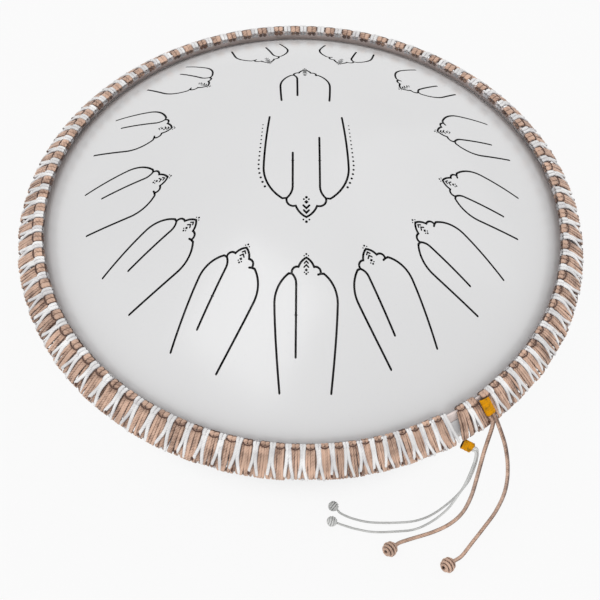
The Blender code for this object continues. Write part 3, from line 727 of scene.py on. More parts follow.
def tongue_cutters(shell):
    """Three cutters: the outlines of all tongues, the slots inside them, and the ornament."""
    low = shell.face_height - 2.0 * shell.top_wall
    high = shell.face_height + shell.dome_height + 2.0 * shell.top_wall
    outlines, insides, ornament = [bmesh.new() for _ in range(3)]
    for place, length, scale, inner in tongues():
        half = half_outline(length, scale)
        outline = place.line(half[::-1], -1.0) + place.line(half[1:])
        add_prism(outlines, strip(outline, shell.slot), low, high)
        for side, end in inner:
            add_prism(insides, strip(place.line(inner_slot(end, scale), side), shell.slot), low, high)
            mark = place.point(side * INNER_SLOT_OFFSET * scale, 31.0 if scale == 1.0 else 39.0)
            if scale > 1.0 or length > LONG_TONGUE:
                for w, s in SLOT_DIAMOND:
                    corners = [mark + place.across * (a * w * MM) + place.along * (b * s * MM)
                               for a, b in ((1, 0), (0, 1), (-1, 0), (0, -1))]
                    add_prism(ornament, corners, low, high)
        if len(inner) == 1 and scale == 1.0:
            spur = [place.point(*LOBE_END), place.point(*SPUR)]
            add_prism(insides, strip(spur, shell.slot), low, high)
        grow = max(scale, 1.0)
        for w, s, radius in TIP_DOTS:
            add_dot(ornament, place.point(w * scale, s * scale), radius * grow * MM, low, high)
        for chevron in TIP_CHEVRONS:
            line = [place.point(w * scale, s * scale) for w, s in chevron]
            add_prism(ornament, strip(line, CHEVRON_WIDTH * grow * MM), low, high)
        add_prism(ornament, [place.point(w * scale, s * scale) for w, s in TIP_DIAMOND], low, high)
    for centre, radius in side_dots():
        add_dot(ornament, centre, radius, low, high)
    return outlines, insides, ornament


def cut_away(made, cutters):
    """Cut each bmesh out of the object and keep the result as its mesh."""
    for number, bm in enumerate(cutters):
        bmesh.ops.recalc_face_normals(bm, faces=bm.faces)
        mesh = bpy.data.meshes.new(f"cutter_{number}")
        bm.to_mesh(mesh)
        bm.free()
        cutter = bpy.data.objects.new(f"cutter_{number}", mesh)
        bpy.context.scene.collection.objects.link(cutter)
        step = made.modifiers.new("cut", "BOOLEAN")
        step.operation = "DIFFERENCE"
        step.solver = "EXACT"
        step.object = cutter
        bpy.context.view_layer.update()
        shown = made.evaluated_get(bpy.context.evaluated_depsgraph_get())
        result = bpy.data.meshes.new_from_object(shown)
        made.modifiers.clear()
        made.data = result
        bpy.data.objects.remove(cutter, do_unlink=True)


def dome_normal(shell, point):
    """Normal of the dome's outer face at a point's distance from the axis."""
    reach = max(math.hypot(point.x, point.y), 1e-9)
    slope = dome_slope(shell, min(reach, shell.face_radius))
    return Vector((-slope * point.x / reach, -slope * point.y / reach, 1.0)).normalized()


def paint_dome(mesh, shell):
    """Near-black primer, partly painted shade, on everything but the outer face, and the dome's true
    normals on its cut-up faces.
    """
    normals = [Vector((0.0, 0.0, 0.0))] * len(mesh.loops)
    for face in mesh.polygons:
        centre = face.center
        radius = math.hypot(centre.x, centre.y)
        agreement = face.normal.dot(dome_normal(shell, centre))
        depth = shell.face_height + dome_height(shell, radius) - centre.z
        face.material_index = 0 if agreement > 0.9 and depth < 0.5 * shell.top_wall else 1
        if radius > shell.face_radius:
            face.material_index = 0
        elif abs(agreement) > 0.97:
            for i in face.loop_indices:
                point = mesh.vertices[mesh.loops[i].vertex_index].co
                normals[i] = dome_normal(shell, point) * math.copysign(1.0, agreement)
    mesh.normals_split_custom_set(normals)


def cover_point(shell, cover, along, rise):
    """Radius and height of a point on the cover: down the slope from the lip, and above it."""
    down = Vector((math.cos(cover.slope), -math.sin(cover.slope)))
    out = Vector((math.sin(cover.slope), math.cos(cover.slope)))
    top = math.hypot(cover.lip_lean, cover.lip_height)
    corner = lip_point(shell, cover, top, cover.lip_wall)
    return corner + out * (cover.seat + rise) + down * (along - 0.4 * MM)


def lip_point(shell, cover, up, out):
    """Radius and height of a point on the leaning lip, from the foot of its inner face."""
    length = math.hypot(cover.lip_lean, cover.lip_height)
    rise = Vector((-cover.lip_lean, cover.lip_height)) / length
    away = Vector((cover.lip_height, cover.lip_lean)) / length
    return Vector((shell.face_radius + GAP, shell.face_height + GAP)) + rise * up + away * out


def lip_line_at(shell, cover, height, out):
    foot = lip_point(shell, cover, 0.0, out)
    return Vector((foot.x - (height - foot.y) * cover.lip_lean / cover.lip_height, height))


def soften(points, radius, steps=3):
    """Round each corner of a closed profile by a quarter-turn of points."""
    rounded = []
    for i, point in enumerate(points):
        here = Vector(point)
        before = Vector(points[i - 1]) - here
        after = Vector(points[(i + 1) % len(points)]) - here
        reach = min(radius, 0.45 * before.length, 0.45 * after.length)
        start = here + before.normalized() * reach
        end = here + after.normalized() * reach
        for k in range(steps + 1):
            t = k / steps
            rounded.append(start * (1.0 - t) ** 2 + here * (2.0 * t * (1.0 - t)) + end * t ** 2)
    return rounded


def smooth_path(points, count):
    """Evenly spaced rows on a smooth curve through the given rows of numbers."""
    rows = np.array(points, float)
    rows = np.vstack([2.0 * rows[0] - rows[1], rows, 2.0 * rows[-1] - rows[-2]])
    fine = []
    for a, b, c, d in zip(rows, rows[1:], rows[2:], rows[3:]):
        for t in np.linspace(0.0, 1.0, 12, endpoint=False):
            pull = 2.0 * b + (c - a) * t + (2.0 * a - 5.0 * b + 4.0 * c - d) * t ** 2
            fine.append(0.5 * (pull + (3.0 * b - a - 3.0 * c + d) * t ** 3))
    fine.append(rows[-2])
    fine = np.array(fine)
    steps = np.linalg.norm(np.diff(fine[:, :3], axis=0), axis=1)
    lengths = np.concatenate([[0.0], np.cumsum(steps)])
    wanted = np.linspace(0.0, lengths[-1], count)
    return np.column_stack([np.interp(wanted, lengths, column) for column in fine.T])


def station(point, direction, upward, half_width, half_height):
    """Matrix that puts a unit circle square across a cord at a point."""
    side = direction.cross(upward).normalized()
    above = side.cross(direction).normalized()
    turn = Matrix((side * half_width, above * half_height, direction)).transposed().to_4x4()
    return Matrix.Translation(point) @ turn


def direction_at(points, i):
    """Direction of a line of points at one of them."""
    return (points[min(i + 1, len(points) - 1)] - points[max(i - 1, 0)]).normalized()


def cord_bmesh():
    """An empty bmesh whose vertices carry the numbers that the cord finishes read."""
    bm = bmesh.new()
    for name in CORD_LAYERS:
        bm.verts.layers.float.new(name)
    return bm


def set_layers(bm, verts, length, back, tone_and_shade):
    """Write each vertex's distance along a cord, its place across it and its tone with painted shade."""
    layers = [bm.verts.layers.float[name] for name in CORD_LAYERS]
    for vert in verts:
        local = back @ vert.co
        for layer, value in zip(layers, (length, local.x, local.y, tone_and_shade)):
            vert[layer] = value


def add_cord(bm, rows, upward, tone_and_shade=0.0, sides=8, turn=None):
    """Sweep a closed oval cord along rows of (x, y, z, half-width, half-height) into a bmesh."""
    made = cord_bmesh()
    points = [Vector(row[:3]) for row in rows]
    ring = bmesh.ops.create_circle(made, cap_ends=False, radius=1.0, segments=sides)["verts"]
    edges = made.edges[:]
    length = 0.0
    back = Matrix()
    for i, point in enumerate(points):
        direction = direction_at(points, i)
        above = upward(i, point, direction) if callable(upward) else upward
        if i:
            length += (point - points[i - 1]).length
            grown = bmesh.ops.extrude_edge_only(made, edges=edges)
            ring = of_kind(grown, bmesh.types.BMVert)
            edges = of_kind(grown, bmesh.types.BMEdge)
        place = station(point, direction, above, rows[i][3], rows[i][4])
        bmesh.ops.transform(made, verts=ring, matrix=place @ back)
        if i in (0, len(points) - 1):
            bmesh.ops.contextual_create(made, geom=edges)
        back = place.inverted()
        set_layers(made, ring, length, back, tone_and_shade)
    bmesh.ops.recalc_face_normals(made, faces=made.faces)
    if turn is not None:
        bmesh.ops.transform(made, verts=made.verts, matrix=turn)
    merge(bm, made)


def merge(bm, part):
    """Add a finished bmesh to another one, with the numbers that its vertices carry."""
    mesh = bpy.data.meshes.new("part")
    part.to_mesh(mesh)
    part.free()
    bm.from_mesh(mesh)
    bpy.data.meshes.remove(mesh)


def knot_angle(place):
    """Direction of a knot on the rim in degrees, by its number; white knots lie at the halves."""
    turn = 2.0 * math.pi * place / KNOTS
    angle = FIRST_KNOT + 360.0 / KNOTS * place
    for count, even, odd in DRIFT:
        angle += even * math.cos(count * turn) + odd * math.sin(count * turn)
    return angle


def knot_pitch(shell, place):
    step = math.radians(knot_angle(place + 0.5) - knot_angle(place - 0.5))
    return step * (shell.face_radius + KNOT_LINE)


def rim_axes(cover, angle):
    """Directions at a place on the rim: outwards, round it and down the cover's slope."""
    radial = Vector((math.cos(angle), math.sin(angle), 0.0))
    around = Vector((-radial.y, radial.x, 0.0))
    return radial, around, radial * math.cos(cover.slope) - UPRIGHT * math.sin(cover.slope)


def knot_matrix(shell, cover, angle):
    """X round the rim, Y up the slope and Z away from it, at the top of the cover."""
    radial, around, down = rim_axes(cover, angle)
    out = radial * math.sin(cover.slope) + UPRIGHT * math.cos(cover.slope)
    seat = cover_point(shell, cover, 0.0, 0.0)
    turn = Matrix((around, -down, out)).transposed().to_4x4()
    return Matrix.Translation(radial * seat.x + UPRIGHT * seat.y) @ turn


def either_way(chance, reach):
    return chance.uniform(-reach, reach)


def free_of_tape(angle):
    """0 for a head under the upper wrap's tape, 1 for one well beside it."""
    return min(abs(angle - UPPER_WRAP_AZIMUTH) / TAPE_REACH, 1.0)


def head_rows(rows, slide, pull):
    """Take a head's rows from distances along its line to places on the lip, slid and bulging inwards."""
    line = smooth_path(HEAD_LINE, HEAD_ROWS)
    along = rows[:, 1] - slide * np.clip(rows[:, 1] / 3.0 + 1.0, 0.0, 1.0)
    down = np.interp(along, line[:, 0], line[:, 1])
    above = np.interp(along, line[:, 0], line[:, 2])
    loose = np.clip((1.5 - above) / 2.5, 0.0, 1.0) * np.clip((above + 4.6) / 2.0, 0.0, 1.0)
    rows[:, 1] = down - HEAD_BULGE * pull * loose
    rows[:, 2] += above


def knot_rows(table, count, side, squeeze, angle, slide, stretch, chance):
    """Rows of one strand in metres, spread, bowed and thickened a little by chance."""
    rows = smooth_path(table, count)
    if table in HEADS:
        head_rows(rows, slide, free_of_tape(angle) * max(math.cos(angle - HEAD_PULL_AZIMUTH), 0.0))
        down = rows[:, 1]
    else:
        down = rows[:, 1] - slide * np.clip((9.0 - rows[:, 1]) / 6.0, 0.0, 1.0)
    share = np.clip(down / STRAND_LENGTH, 0.0, 1.0)
    spread = chance.uniform(0.65, 1.35) if table not in HEADS else 1.0
    drift = LEAN * math.sin(angle - LEAN_AZIMUTH) + either_way(chance, CHANCE_LEAN)
    past_gap = math.degrees(angle) - GAP_DEGREES
    if -GAP_LEAN_DEGREES < past_gap < 0.0:
        drift += GAP_LEAN * (1.0 + past_gap / GAP_LEAN_DEGREES)
    elif 0.0 < past_gap < 3.0:
        drift -= 2.0 * GAP_LEAN
    bow = either_way(chance, CHANCE_BOW)
    across = rows[0, 0] + (rows[:, 0] - rows[0, 0]) * spread
    rows[:, 0] = across * side * squeeze + drift * share ** 1.5 + bow * np.sin(math.pi * share)
    ends = COVER_SHIFT * math.cos(angle) * share * np.clip(1.0 + rows[:, 2] / 6.0, 0.0, 1.0)
    rows[:, 1] = ends - np.where(down > 4.0, 4.0 + (down - 4.0) * stretch, down)
    rows[:, 3:] *= squeeze ** 0.5 * chance.uniform(0.92, 1.1)
    return rows * MM


def tilting_up(i, point, direction):
    """Square to a strand that rolls over the lip or under the rim, on its outer side."""
    outer = Vector((1.0, 0.0, 0.0)).cross(direction)
    return outer if outer.z > 0.0 or direction.y > 0.0 else -outer


# Strands of a knot: table, rows, sides of the cord, side of the knot and tone; a higher tone is painted
# shade, on returns, spread strands, the tie and the eye
HEADS = (TAN_LOBE, TAN_TIE_SHADOW, WHITE_LOBE)
ROLLED = (RETURN, TAN_LOBE, WHITE_LOBE)
TAN_STRANDS = ((TAN_SPREAD, 7, 6, -1.0, 0.12), (TAN_SPREAD, 7, 6, 1.0, 0.12), (RETURN, 7, 6, 1.0, 0.3),
               (TAN_OUTER, 10, 8, -1.0, 0.0), (TAN_OUTER, 10, 8, 1.0, 0.0), (TAN_INNER, 10, 8, -1.0, 0.0),
               (TAN_INNER, 10, 8, 1.0, 0.0), (TAN_TIE_SHADOW, 9, 6, 1.0, 2.0), (TAN_EYE_SHADOW, 4, 6, 1.0, 2.5),
               (TAN_LOBE, 11, 8, 1.0, 0.0), (TAN_LOBE, 11, 8, -1.0, 0.0))
WHITE_STRANDS = ((RETURN, 7, 6, 1.0, 0.2), (WHITE_RIGHT, 11, 8, 1.0, 0.0), (WHITE_LEFT, 11, 8, 1.0, 0.0),
                 (WHITE_LOBE, 11, 8, 1.0, 0.0), (WHITE_LOBE, 11, 8, -1.0, 0.0))


def fringe(context, strands, phase, missing, chance):
    """A ring of knots, each a little different from the next."""
    shell = context.scene.drum_shell
    cover = context.scene.drum_cover
    bm = cord_bmesh()
    for number in range(KNOTS):
        if number in missing:
            continue
        angle = math.radians(knot_angle(number + phase) + either_way(chance, CHANCE_PLACE))
        pitch = knot_pitch(shell, number + phase) / EVEN_PITCH
        squeeze = min(max(pitch, SQUEEZE_LIMITS[0]), SQUEEZE_LIMITS[1])
        matrix = knot_matrix(shell, cover, angle)
        pulled = max(0.8 + HEAD_SLIDE * math.cos(angle - HEAD_PULL_AZIMUTH), -0.5)
        slide = free_of_tape(angle) * pulled + either_way(chance, CHANCE_SLIDE)
        stretch = chance.uniform(0.95, 1.02)
        shade = either_way(chance, CHANCE_SHADE)
        near_wrap = abs(angle - LOWER_WRAP_AZIMUTH) < math.radians(3.0)
        for table, count, sides, side, tone_and_shade in strands:
            if table is RETURN and near_wrap:
                continue
            if table is TAN_EYE_SHADOW and chance.random() < EYES_LEFT_OUT:
                continue
            rows = knot_rows(table, count, side, squeeze, angle, slide, stretch, chance)
            above = tilting_up if table in ROLLED else UPRIGHT
            add_cord(bm, rows, above, shade + tone_and_shade + chance.uniform(-0.25, 0.35), sides, matrix)
    return bm


def wrap_axes(shell, cover, upper):
    """Axes of a tape wrap, along and across it, its centre and the centre of its lower end."""
    radial, around, down = rim_axes(cover, UPPER_WRAP_AZIMUTH if upper else LOWER_WRAP_AZIMUTH)
    if upper:
        length = UPPER_WRAP_SIZE[0]
        middle = cover_point(shell, cover, UPPER_WRAP_START + 0.5 * length, UPPER_WRAP_RISE)
        along, across = down, around
    else:
        length = LOWER_WRAP_SIZE[0]
        middle = cover_point(shell, cover, LOWER_WRAP_START, LOWER_WRAP_RISE)
        along = around * math.cos(LOWER_WRAP_TILT) + down * math.sin(LOWER_WRAP_TILT)
        across = around * math.sin(LOWER_WRAP_TILT) - down * math.cos(LOWER_WRAP_TILT)
    centre = radial * middle.x + UPRIGHT * middle.y
    return along, across, centre, centre + along * (0.5 * length)


def tape_wrap(name, wrap, axes, material):
    """Tape wound round the cord ends: a soft flat roll with a ridge at each turn."""
    along, across, centre, _ = axes
    length, width, thickness = wrap
    chance = random.Random(name)
    rows = []
    for i in range(WRAP_ROWS):
        share = i / (WRAP_ROWS - 1)
        ridge = 0.93 + 0.07 * (i % 2) + either_way(chance, 0.025)
        ridge *= 0.86 if i in (0, WRAP_ROWS - 1) else 1.0
        point = centre + along * (length * (share - 0.5)) + across * either_way(chance, 0.12) * MM
        rows.append((*point, 0.5 * width * ridge, 0.5 * thickness * ridge))
    bm = cord_bmesh()
    add_cord(bm, rows, along.cross(across), 0.0, sides=20)
    _, side, rise, tone_and_shade = [bm.verts.layers.float[layer] for layer in CORD_LAYERS]
    for vert in bm.verts:
        place = (vert.co - centre).dot(along) / length
        vert[tone_and_shade] = 1.0 if place < -0.46 else 0.0
        square = (abs(vert[side]) ** 4 + abs(vert[rise]) ** 4) ** 0.25
        base = centre + along * (place * length)
        vert.co = base + (vert.co - base) / max(square, 0.6)
    bmesh.ops.smooth_vert(bm, verts=bm.verts, factor=0.25, use_axis_x=True, use_axis_y=True,
                          use_axis_z=True)
    return piece(name, bm, [material], 60.0)


def floor_route(start, along, route, end, diameter, knot_radius):
    """Points of a loose cord from its wrap to its ball knot, none under the floor."""
    knot = Vector((end[0] * MM, end[1] * MM, knot_radius))
    middle = [Vector(p) * MM for p in route]
    first = start + along * GAP
    last = knot - (knot - middle[-1]).normalized() * (knot_radius + GAP)
    spacing = LOOSE_SPACING * diameter
    points = [tuple(p) for p in [first, first + along * (LOOSE_STRETCH * diameter)] + middle + [last]]
    count = 4 * max(2, round(path_length(points) / spacing)) + 1
    fine = smooth_path(points, count)
    fine[:, 2] = np.maximum(fine[:, 2], 0.5 * diameter + FLOOR_GAP)
    return [Vector(row) for row in fine], knot


def path_length(points):
    fine = smooth_path(points, 400)
    return float(np.linalg.norm(np.diff(fine, axis=0), axis=1).sum())


def square_to(direction):
    helper = UPRIGHT if abs(direction.z) < 0.9 else Vector((0.0, 1.0, 0.0))
    return direction.cross(helper).normalized()


def carried_normals(points):
    """A direction square to the cord at each point, carried along it without twisting."""
    normal = square_to((points[1] - points[0]).normalized())
    found = []
    for i in range(len(points)):
        direction = direction_at(points, i)
        normal = (normal - direction * normal.dot(direction)).normalized()
        found.append(normal.copy())
    return found


def loose_tail(name, points, diameter, material):
    bm = cord_bmesh()
    normals = carried_normals(points)
    rows = [(*point, 0.5 * diameter, 0.5 * diameter) for point in points]
    add_cord(bm, rows, lambda i, point, direction: normals[i], 0.0, sides=12)
    return piece(name, bm, [material])


def ball_knot(label, centre, axis, radius, thickness, material):
    """A ball of cord: turns wound round the tail's line, one strand laid across them, over a core."""
    chance = random.Random(label)
    bm = cord_bmesh()
    side = square_to(axis)
    other = axis.cross(side).normalized()
    core = cord_bmesh()
    bmesh.ops.create_uvsphere(core, u_segments=20, v_segments=12, radius=radius - 1.1 * thickness,
                              matrix=Matrix.Translation(centre))
    crown_of_cord = Matrix.Translation((0.0, 1.0, 0.0)) @ Matrix.Scale(0.0, 4)
    # The core is darker, painted shade of the ball's middle between its turns
    set_layers(core, core.verts, 0.0, crown_of_cord, 0.7)
    merge(bm, core)

    def outwards(i, point, direction):
        return (point - centre).normalized()

    half = 0.5 * thickness
    coil = []
    count = int(BALL_TURNS * TURN_POINTS)
    for i in range(count + 1):
        share = i / count
        reach = (radius - half) * math.sin(0.5 * math.pi * (2.0 * share - 1.0)) * 0.93
        angle = 2.0 * math.pi * BALL_TURNS * share
        swell = math.sqrt(max((radius - half) ** 2 - reach ** 2, (0.25 * radius) ** 2))
        swell *= 1.0 + either_way(chance, 0.02)
        point = centre + axis * reach + (side * math.cos(angle) + other * math.sin(angle)) * swell
        coil.append((*point, half, half))
    add_cord(bm, coil, outwards)
    tilted = (axis * 0.35 + side * 0.5 + other * 0.8).normalized()
    first = square_to(tilted)
    second = tilted.cross(first)
    band = []
    for i in range(BAND_POINTS + 1):
        angle = math.radians(20.0 + 200.0 * i / BAND_POINTS)
        lift = radius - half + 0.35 * half * math.sin(math.pi * i / BAND_POINTS)
        point = centre + (first * math.cos(angle) + second * math.sin(angle)) * lift
        band.append((*point, half, 0.85 * half))
    add_cord(bm, band, outwards, -0.05)
    collar = []
    for i in range(3):
        point = centre - axis * (radius + 0.2 * MM - 0.9 * thickness * 0.4 * i)
        collar.append((*point, half * (0.9 + 0.25 * i), half * (0.9 + 0.25 * i)))
    add_cord(bm, collar, other, 0.1)
    lowest = min(vert.co.z for vert in bm.verts)
    if lowest < FLOOR_GAP:
        bmesh.ops.translate(bm, verts=bm.verts, vec=(0.0, 0.0, FLOOR_GAP - lowest))
    return piece(f"{label}_ball", bm, [material])


def foot_places(shell):
    """Where the four feet stand, one in each quarter of the base."""
    reach = shell.base_radius - FOOT_INSET
    for i in range(4):
        angle = 0.5 * math.pi * (i + 0.5)
        yield Vector((reach * math.cos(angle), reach * math.sin(angle), 0.0))


class DRUM_OT_dome(bpy.types.Operator):
    """Builds the domed upper shell with its tongues and ornament cut through"""
    bl_idname = "drum.dome"
    bl_label = "Domed Shell"

    def execute(self, context):
        shell = context.scene.drum_shell
        coat = finishes(context)
        bm = revolve(dome_profile(shell, DOME_RINGS), DOME_STEPS, closed=False)
        made = piece("dome_shell", bm, [coat("white_powder_coat"), coat("inside_primer")])
        cut_away(made, tongue_cutters(shell))
        paint_dome(made.data, shell)
        finish_piece(made, "white_powder_coat", "top_shell")
        return {"FINISHED"}


class DRUM_OT_bowl(bpy.types.Operator):
    """Builds the bowl with its flange, sound hole and foot holes"""
    bl_idname = "drum.bowl"
    bl_label = "Bowl"

    def execute(self, context):
        shell = context.scene.drum_shell
        coat = finishes(context)
        top = shell.face_height - shell.top_wall - GAP
        bottom = top - shell.bowl_wall
        side = shell.face_radius - 0.5 * MM
        base = shell.face_height - shell.bowl_depth
        fall = bottom - base
        spread = side - shell.base_radius
        outer = []
        inner = []
        for i in range(BOWL_RINGS + 1):
            angle = 0.5 * math.pi * i / BOWL_RINGS
            across = shell.base_radius + spread * math.cos(angle)
            point = Vector((across, bottom - fall * math.sin(angle)))
            normal = Vector((fall * math.cos(angle), -spread * math.sin(angle))).normalized()
            outer.append(point)
            inner.append(point - normal * shell.bowl_wall)
        edge = shell.face_radius + shell.flange
        bevel = 0.3 * MM
        hole = [(shell.sound_hole + bevel, base), (shell.sound_hole, base + bevel),
                (shell.sound_hole, base + shell.bowl_wall)]
        rim = [(inner[0].x, top), (edge, top), (edge, bottom)]
        made = piece("bowl_shell", revolve(rim + outer + hole + inner[::-1], BOWL_STEPS),
                     [coat("grey_powder_coat")])
        holes = bmesh.new()
        for place in foot_places(shell):
            add_dot(holes, place, FOOT_HOLE, base - 4.0 * MM, base + 4.0 * MM, 32)
        cut_away(made, [holes])
        made.data.set_sharp_from_angle(angle=math.radians(35.0))
        finish_piece(made, "grey_powder_coat", "bottom_shell")
        return {"FINISHED"}


class DRUM_OT_rim(bpy.types.Operator):
    """Builds the ring round the flanges and the soft band over its lip"""
    bl_idname = "drum.rim"
    bl_label = "Rim Ring and Band"

    def execute(self, context):
        shell = context.scene.drum_shell
        cover = context.scene.drum_cover
        coat = finishes(context)
        length = math.hypot(cover.lip_lean, cover.lip_height)
        fold = length - cover.band_fold - GAP
        limb_top = shell.face_height + GAP + cover.ring_wall
        flange_bottom = shell.face_height - shell.top_wall - GAP - shell.bowl_wall
        rim = shell.face_radius + shell.flange
        outer = rim + GAP + cover.ring_wall
        limb_end = outer - cover.ring_wall - cover.ring_limb
        under = flange_bottom - GAP
        ring = [
            lip_line_at(shell, cover, shell.face_height + GAP, cover.band_leg + GAP),
            lip_point(shell, cover, fold, cover.band_leg + GAP),
            lip_point(shell, cover, fold, cover.lip_wall),
            (outer, limb_top),
            (outer, under - cover.ring_wall),
            (limb_end, under - cover.ring_wall),
            (limb_end, under),
            (rim + GAP, under),
            (rim + GAP, shell.face_height + GAP),
        ]
        made = piece("flange_ring", revolve(soften(ring, RING_CORNER), RIM_STEPS),
                     [coat("grey_powder_coat")])
        finish_piece(made, "grey_powder_coat", "rim_ring")
        folded = length - cover.band_fold
        band = [lip_point(shell, cover, up, out) for up, out in (
            (0.0, 0.0), (length, 0.0), (length, cover.lip_wall), (folded, cover.lip_wall),
            (folded, cover.band_leg), (0.0, cover.band_leg))]
        made = piece("lip_band", revolve(soften(band, BAND_CORNER), RIM_STEPS), [coat("taupe_band")])
        finish_piece(made, "taupe_band", "rim_band")
        return {"FINISHED"}


class DRUM_OT_fringe(bpy.types.Operator):
    """Knots the tan and white cords side by side over the lip"""
    bl_idname = "drum.fringe"
    bl_label = "Cord Fringe"

    def execute(self, context):
        coat = finishes(context)
        chance = random.Random(context.scene.drum_cover.seed)
        for label, strands, phase, missing in (("tan", TAN_STRANDS, 0.0, MISSING_TAN),
                                               ("white", WHITE_STRANDS, 0.5, MISSING_WHITE)):
            bm = fringe(context, strands, phase, missing, chance)
            made = piece(f"{label}_fringe", bm, [coat(f"{label}_cord")], 60.0)
            finish_piece(made, f"{label}_cord", f"{label}_cord_cover")
        return {"FINISHED"}


class DRUM_OT_loose_ends(bpy.types.Operator):
    """Builds the two tape wraps and the four loose cords with their ball knots"""
    bl_idname = "drum.loose_ends"
    bl_label = "Loose Ends"

    def execute(self, context):
        shell = context.scene.drum_shell
        cover = context.scene.drum_cover
        sizes = context.scene.drum_cords
        coat = finishes(context)
        upper = wrap_axes(shell, cover, True)
        lower = wrap_axes(shell, cover, False)
        for label, wrap, axes in (("upper", UPPER_WRAP_SIZE, upper), ("lower", LOWER_WRAP_SIZE, lower)):
            made = tape_wrap(f"{label}_tape", wrap, axes, coat("amber_tape"))
            finish_piece(made, "amber_tape", f"{label}_wrap")
        self.pair(upper, sizes.tan_cord, sizes.tan_knot, TAN_BALL_STRAND, coat("tan_cord"), "tan_cord",
                  TAN_TAILS)
        self.pair(lower, sizes.white_cord, sizes.white_knot, WHITE_BALL_STRAND, coat("white_tail"),
                  "white_cord", WHITE_TAILS)
        return {"FINISHED"}

    def pair(self, axes, diameter, knot_radius, strand, material, slot, cords):
        along, across, _, end = axes
        for label, side, route, finish in cords:
            start = end + across * (side * (0.5 * diameter + 0.7 * GAP))
            points, knot = floor_route(start, along, route, finish, diameter, knot_radius)
            tail = loose_tail(f"{label}_cord", points, diameter, material)
            finish_piece(tail, slot, f"{label}_tail")
            axis = (knot - points[-1]).normalized()
            ball = ball_knot(label, knot, axis, knot_radius, strand, material)
            finish_piece(ball, slot, f"{label}_knot")
            length = sum((b - a).length for a, b in zip(points, points[1:]))
            tuple(points[0])
            [tuple(p) for p in points]


class DRUM_OT_feet(bpy.types.Operator):
    """Builds the four push-in rubber feet"""
    bl_idname = "drum.feet"
    bl_label = "Feet"

    def execute(self, context):
        shell = context.scene.drum_shell
        sizes = context.scene.drum_cords
        coat = finishes(context)
        top = sizes.foot_height
        radius = sizes.foot_radius
        tread = radius - 1.8 * MM
        barb = shell.face_height - shell.bowl_depth + shell.bowl_wall + GAP
        profile = [(0.0, 0.6 * MM), (tread - 4.0 * MM, 0.6 * MM), (tread - 3.4 * MM, 0.0),
                   (tread - 0.8 * MM, 0.0), (tread, 0.8 * MM), (radius - 0.15 * MM, top - 1.2 * MM),
                   (radius, top - 0.8 * MM), (radius - 0.25 * MM, top - 0.25 * MM),
                   (radius - 0.8 * MM, top), (3.0 * MM, top), (3.0 * MM, barb), (4.6 * MM, barb),
                   (4.2 * MM, barb + 1.05 * MM), (2.3 * MM, barb + 3.5 * MM), (0.0, barb + 3.5 * MM)]
        for number, place in enumerate(foot_places(shell), 1):
            bm = revolve(profile, FOOT_STEPS, closed=False)
            bmesh.ops.translate(bm, verts=bm.verts, vec=place)
            made = piece(f"foot_pad_{number}", bm, [coat("black_rubber")])
            finish_piece(made, "black_rubber", f"rubber_foot_{number}")
        return {"FINISHED"}


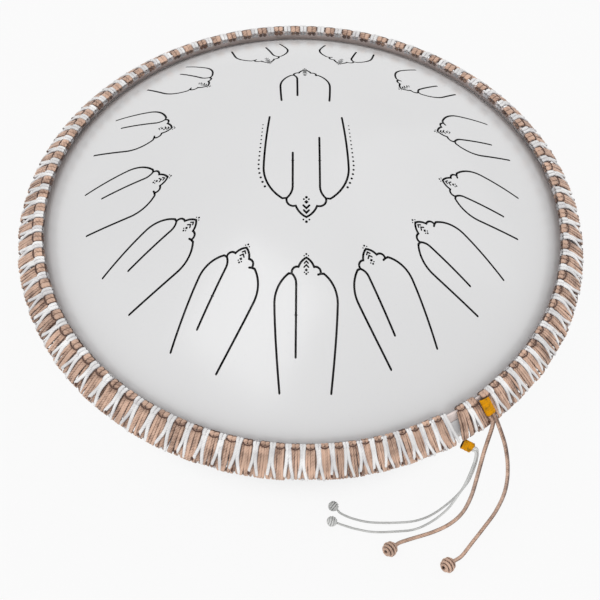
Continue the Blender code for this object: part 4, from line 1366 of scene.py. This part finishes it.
class DRUM_OT_stage(bpy.types.Operator):
    """Sets the floor, the lamps, the even light and the camera"""
    bl_idname = "drum.stage"
    bl_label = "Stage"

    def execute(self, context):
        stage = context.scene.drum_stage
        self.floor(context)
        self.world(context, stage.ambient)
        self.lamp(context, "key_lamp", stage.key_power, *KEY_LAMP)
        self.lamp(context, "fill_lamp", stage.fill_power, *FILL_LAMP)
        data = bpy.data.cameras.new("photo_camera")
        data.lens = stage.lens
        data.sensor_width = SENSOR_WIDTH
        data.clip_start = 0.01
        camera = bpy.data.objects.new("photo_camera", data)
        turns = [Matrix.Rotation(math.radians(turn), 4, axis) for turn, axis in CAMERA_TURNS]
        camera.matrix_world = Matrix.Translation(CAMERA_PLACE) @ (turns[0] @ turns[1] @ turns[2])
        context.scene.collection.objects.link(camera)
        context.scene.camera = camera
        context.scene.view_settings.view_transform = "Standard"
        return {"FINISHED"}

    def seen(self, finish):
        """1 for rays that show the backdrop, to the camera or in a reflection, and 0 for light."""
        path = finish.tree.nodes.new("ShaderNodeLightPath")
        kinds = ("Camera", "Glossy", "Transmission")
        rays = [Wire(finish, path.outputs[f"Is {kind} Ray"]) for kind in kinds]
        return rays[0].maths("MAXIMUM", rays[0].maths("MAXIMUM", rays[0], rays[1]), rays[2])

    def floor(self, context):
        bm = bmesh.new()
        bmesh.ops.create_grid(bm, x_segments=1, y_segments=1, size=FLOOR_SIZE)
        finish = Finish("pale_floor", 0.9)
        grain = finish.noise(finish.place(), 60.0, 3.0)
        finish.feed("Base Color", finish.mix(grain, (0.89, 0.89, 0.89), (0.91, 0.91, 0.91)))
        glow = finish.node("ShaderNodeEmission", {}, {"Color": (0.96, 0.96, 0.96), "Strength": 1.0})
        surface = Wire(finish, finish.shader.outputs["BSDF"])
        x, y = [finish.coordinate(axis, finish.place()) for axis in "XY"]
        reach = (x * x + y * y) ** 0.5
        share = self.seen(finish) * (0.95 * reach.step(*CLEAR_FLOOR))
        shown = finish.node("ShaderNodeMixShader", {}, {0: share, 1: surface, 2: glow})
        finish.connect(finish.tree.nodes["Material Output"].inputs["Surface"], shown)
        piece("floor", bm, [finish.material])

    def world(self, context, ambient):
        world = bpy.data.worlds.new("studio")
        world.use_nodes = True
        context.scene.world = world
        light = Nodes(world.node_tree)
        background = light.tree.nodes["Background"]
        light.connect(background.inputs["Color"], (1.0, 1.0, 1.0))
        share = self.seen(light)
        light.connect(background.inputs["Strength"], share * (1.0 - ambient) + ambient)

    def lamp(self, context, name, power, place, width):
        data = bpy.data.lights.new(name, "AREA")
        data.energy = power
        data.size = width
        lamp = bpy.data.objects.new(name, data)
        aim = (Vector(LAMP_AIM) - Vector(place)).to_track_quat("-Z", "Y")
        lamp.matrix_world = Matrix.Translation(place) @ aim.to_matrix().to_4x4()
        context.scene.collection.objects.link(lamp)


class DRUM_PT_panel(bpy.types.Panel):
    """Lists the drum's sizes, colours and pieces"""
    bl_idname = "DRUM_PT_panel"
    bl_label = "Tongue Drum"
    bl_space_type = "VIEW_3D"
    bl_region_type = "UI"
    bl_category = "Tongue Drum"

    def draw(self, context):
        layout = self.layout
        for name in GROUPS:
            group = getattr(context.scene, name)
            box = layout.box()
            for key in group.__annotations__:
                box.prop(group, key)
        for operator in OPERATORS:
            layout.operator(operator.bl_idname)


GROUPS = {
    "drum_shell": DrumShellSizes,
    "drum_cover": DrumCoverSizes,
    "drum_cords": DrumCordSizes,
    "drum_colours": DrumColours,
    "drum_stage": DrumStage,
}
OPERATORS = (DRUM_OT_dome, DRUM_OT_bowl, DRUM_OT_rim, DRUM_OT_fringe, DRUM_OT_loose_ends,
             DRUM_OT_feet, DRUM_OT_stage)
CLASSES = (*GROUPS.values(), *OPERATORS, DRUM_PT_panel)


def register():
    for made in CLASSES:
        bpy.utils.register_class(made)
    for name, group in GROUPS.items():
        setattr(bpy.types.Scene, name, PointerProperty(type=group))


def unregister():
    for name in GROUPS:
        delattr(bpy.types.Scene, name)
    for made in reversed(CLASSES):
        bpy.utils.unregister_class(made)


def main():
    register()
    bpy.ops.drum.dome()
    bpy.ops.drum.bowl()
    bpy.ops.drum.rim()
    bpy.ops.drum.fringe()
    bpy.ops.drum.loose_ends()
    bpy.ops.drum.feet()
    bpy.ops.drum.stage()


if __name__ == "__main__":
    main()
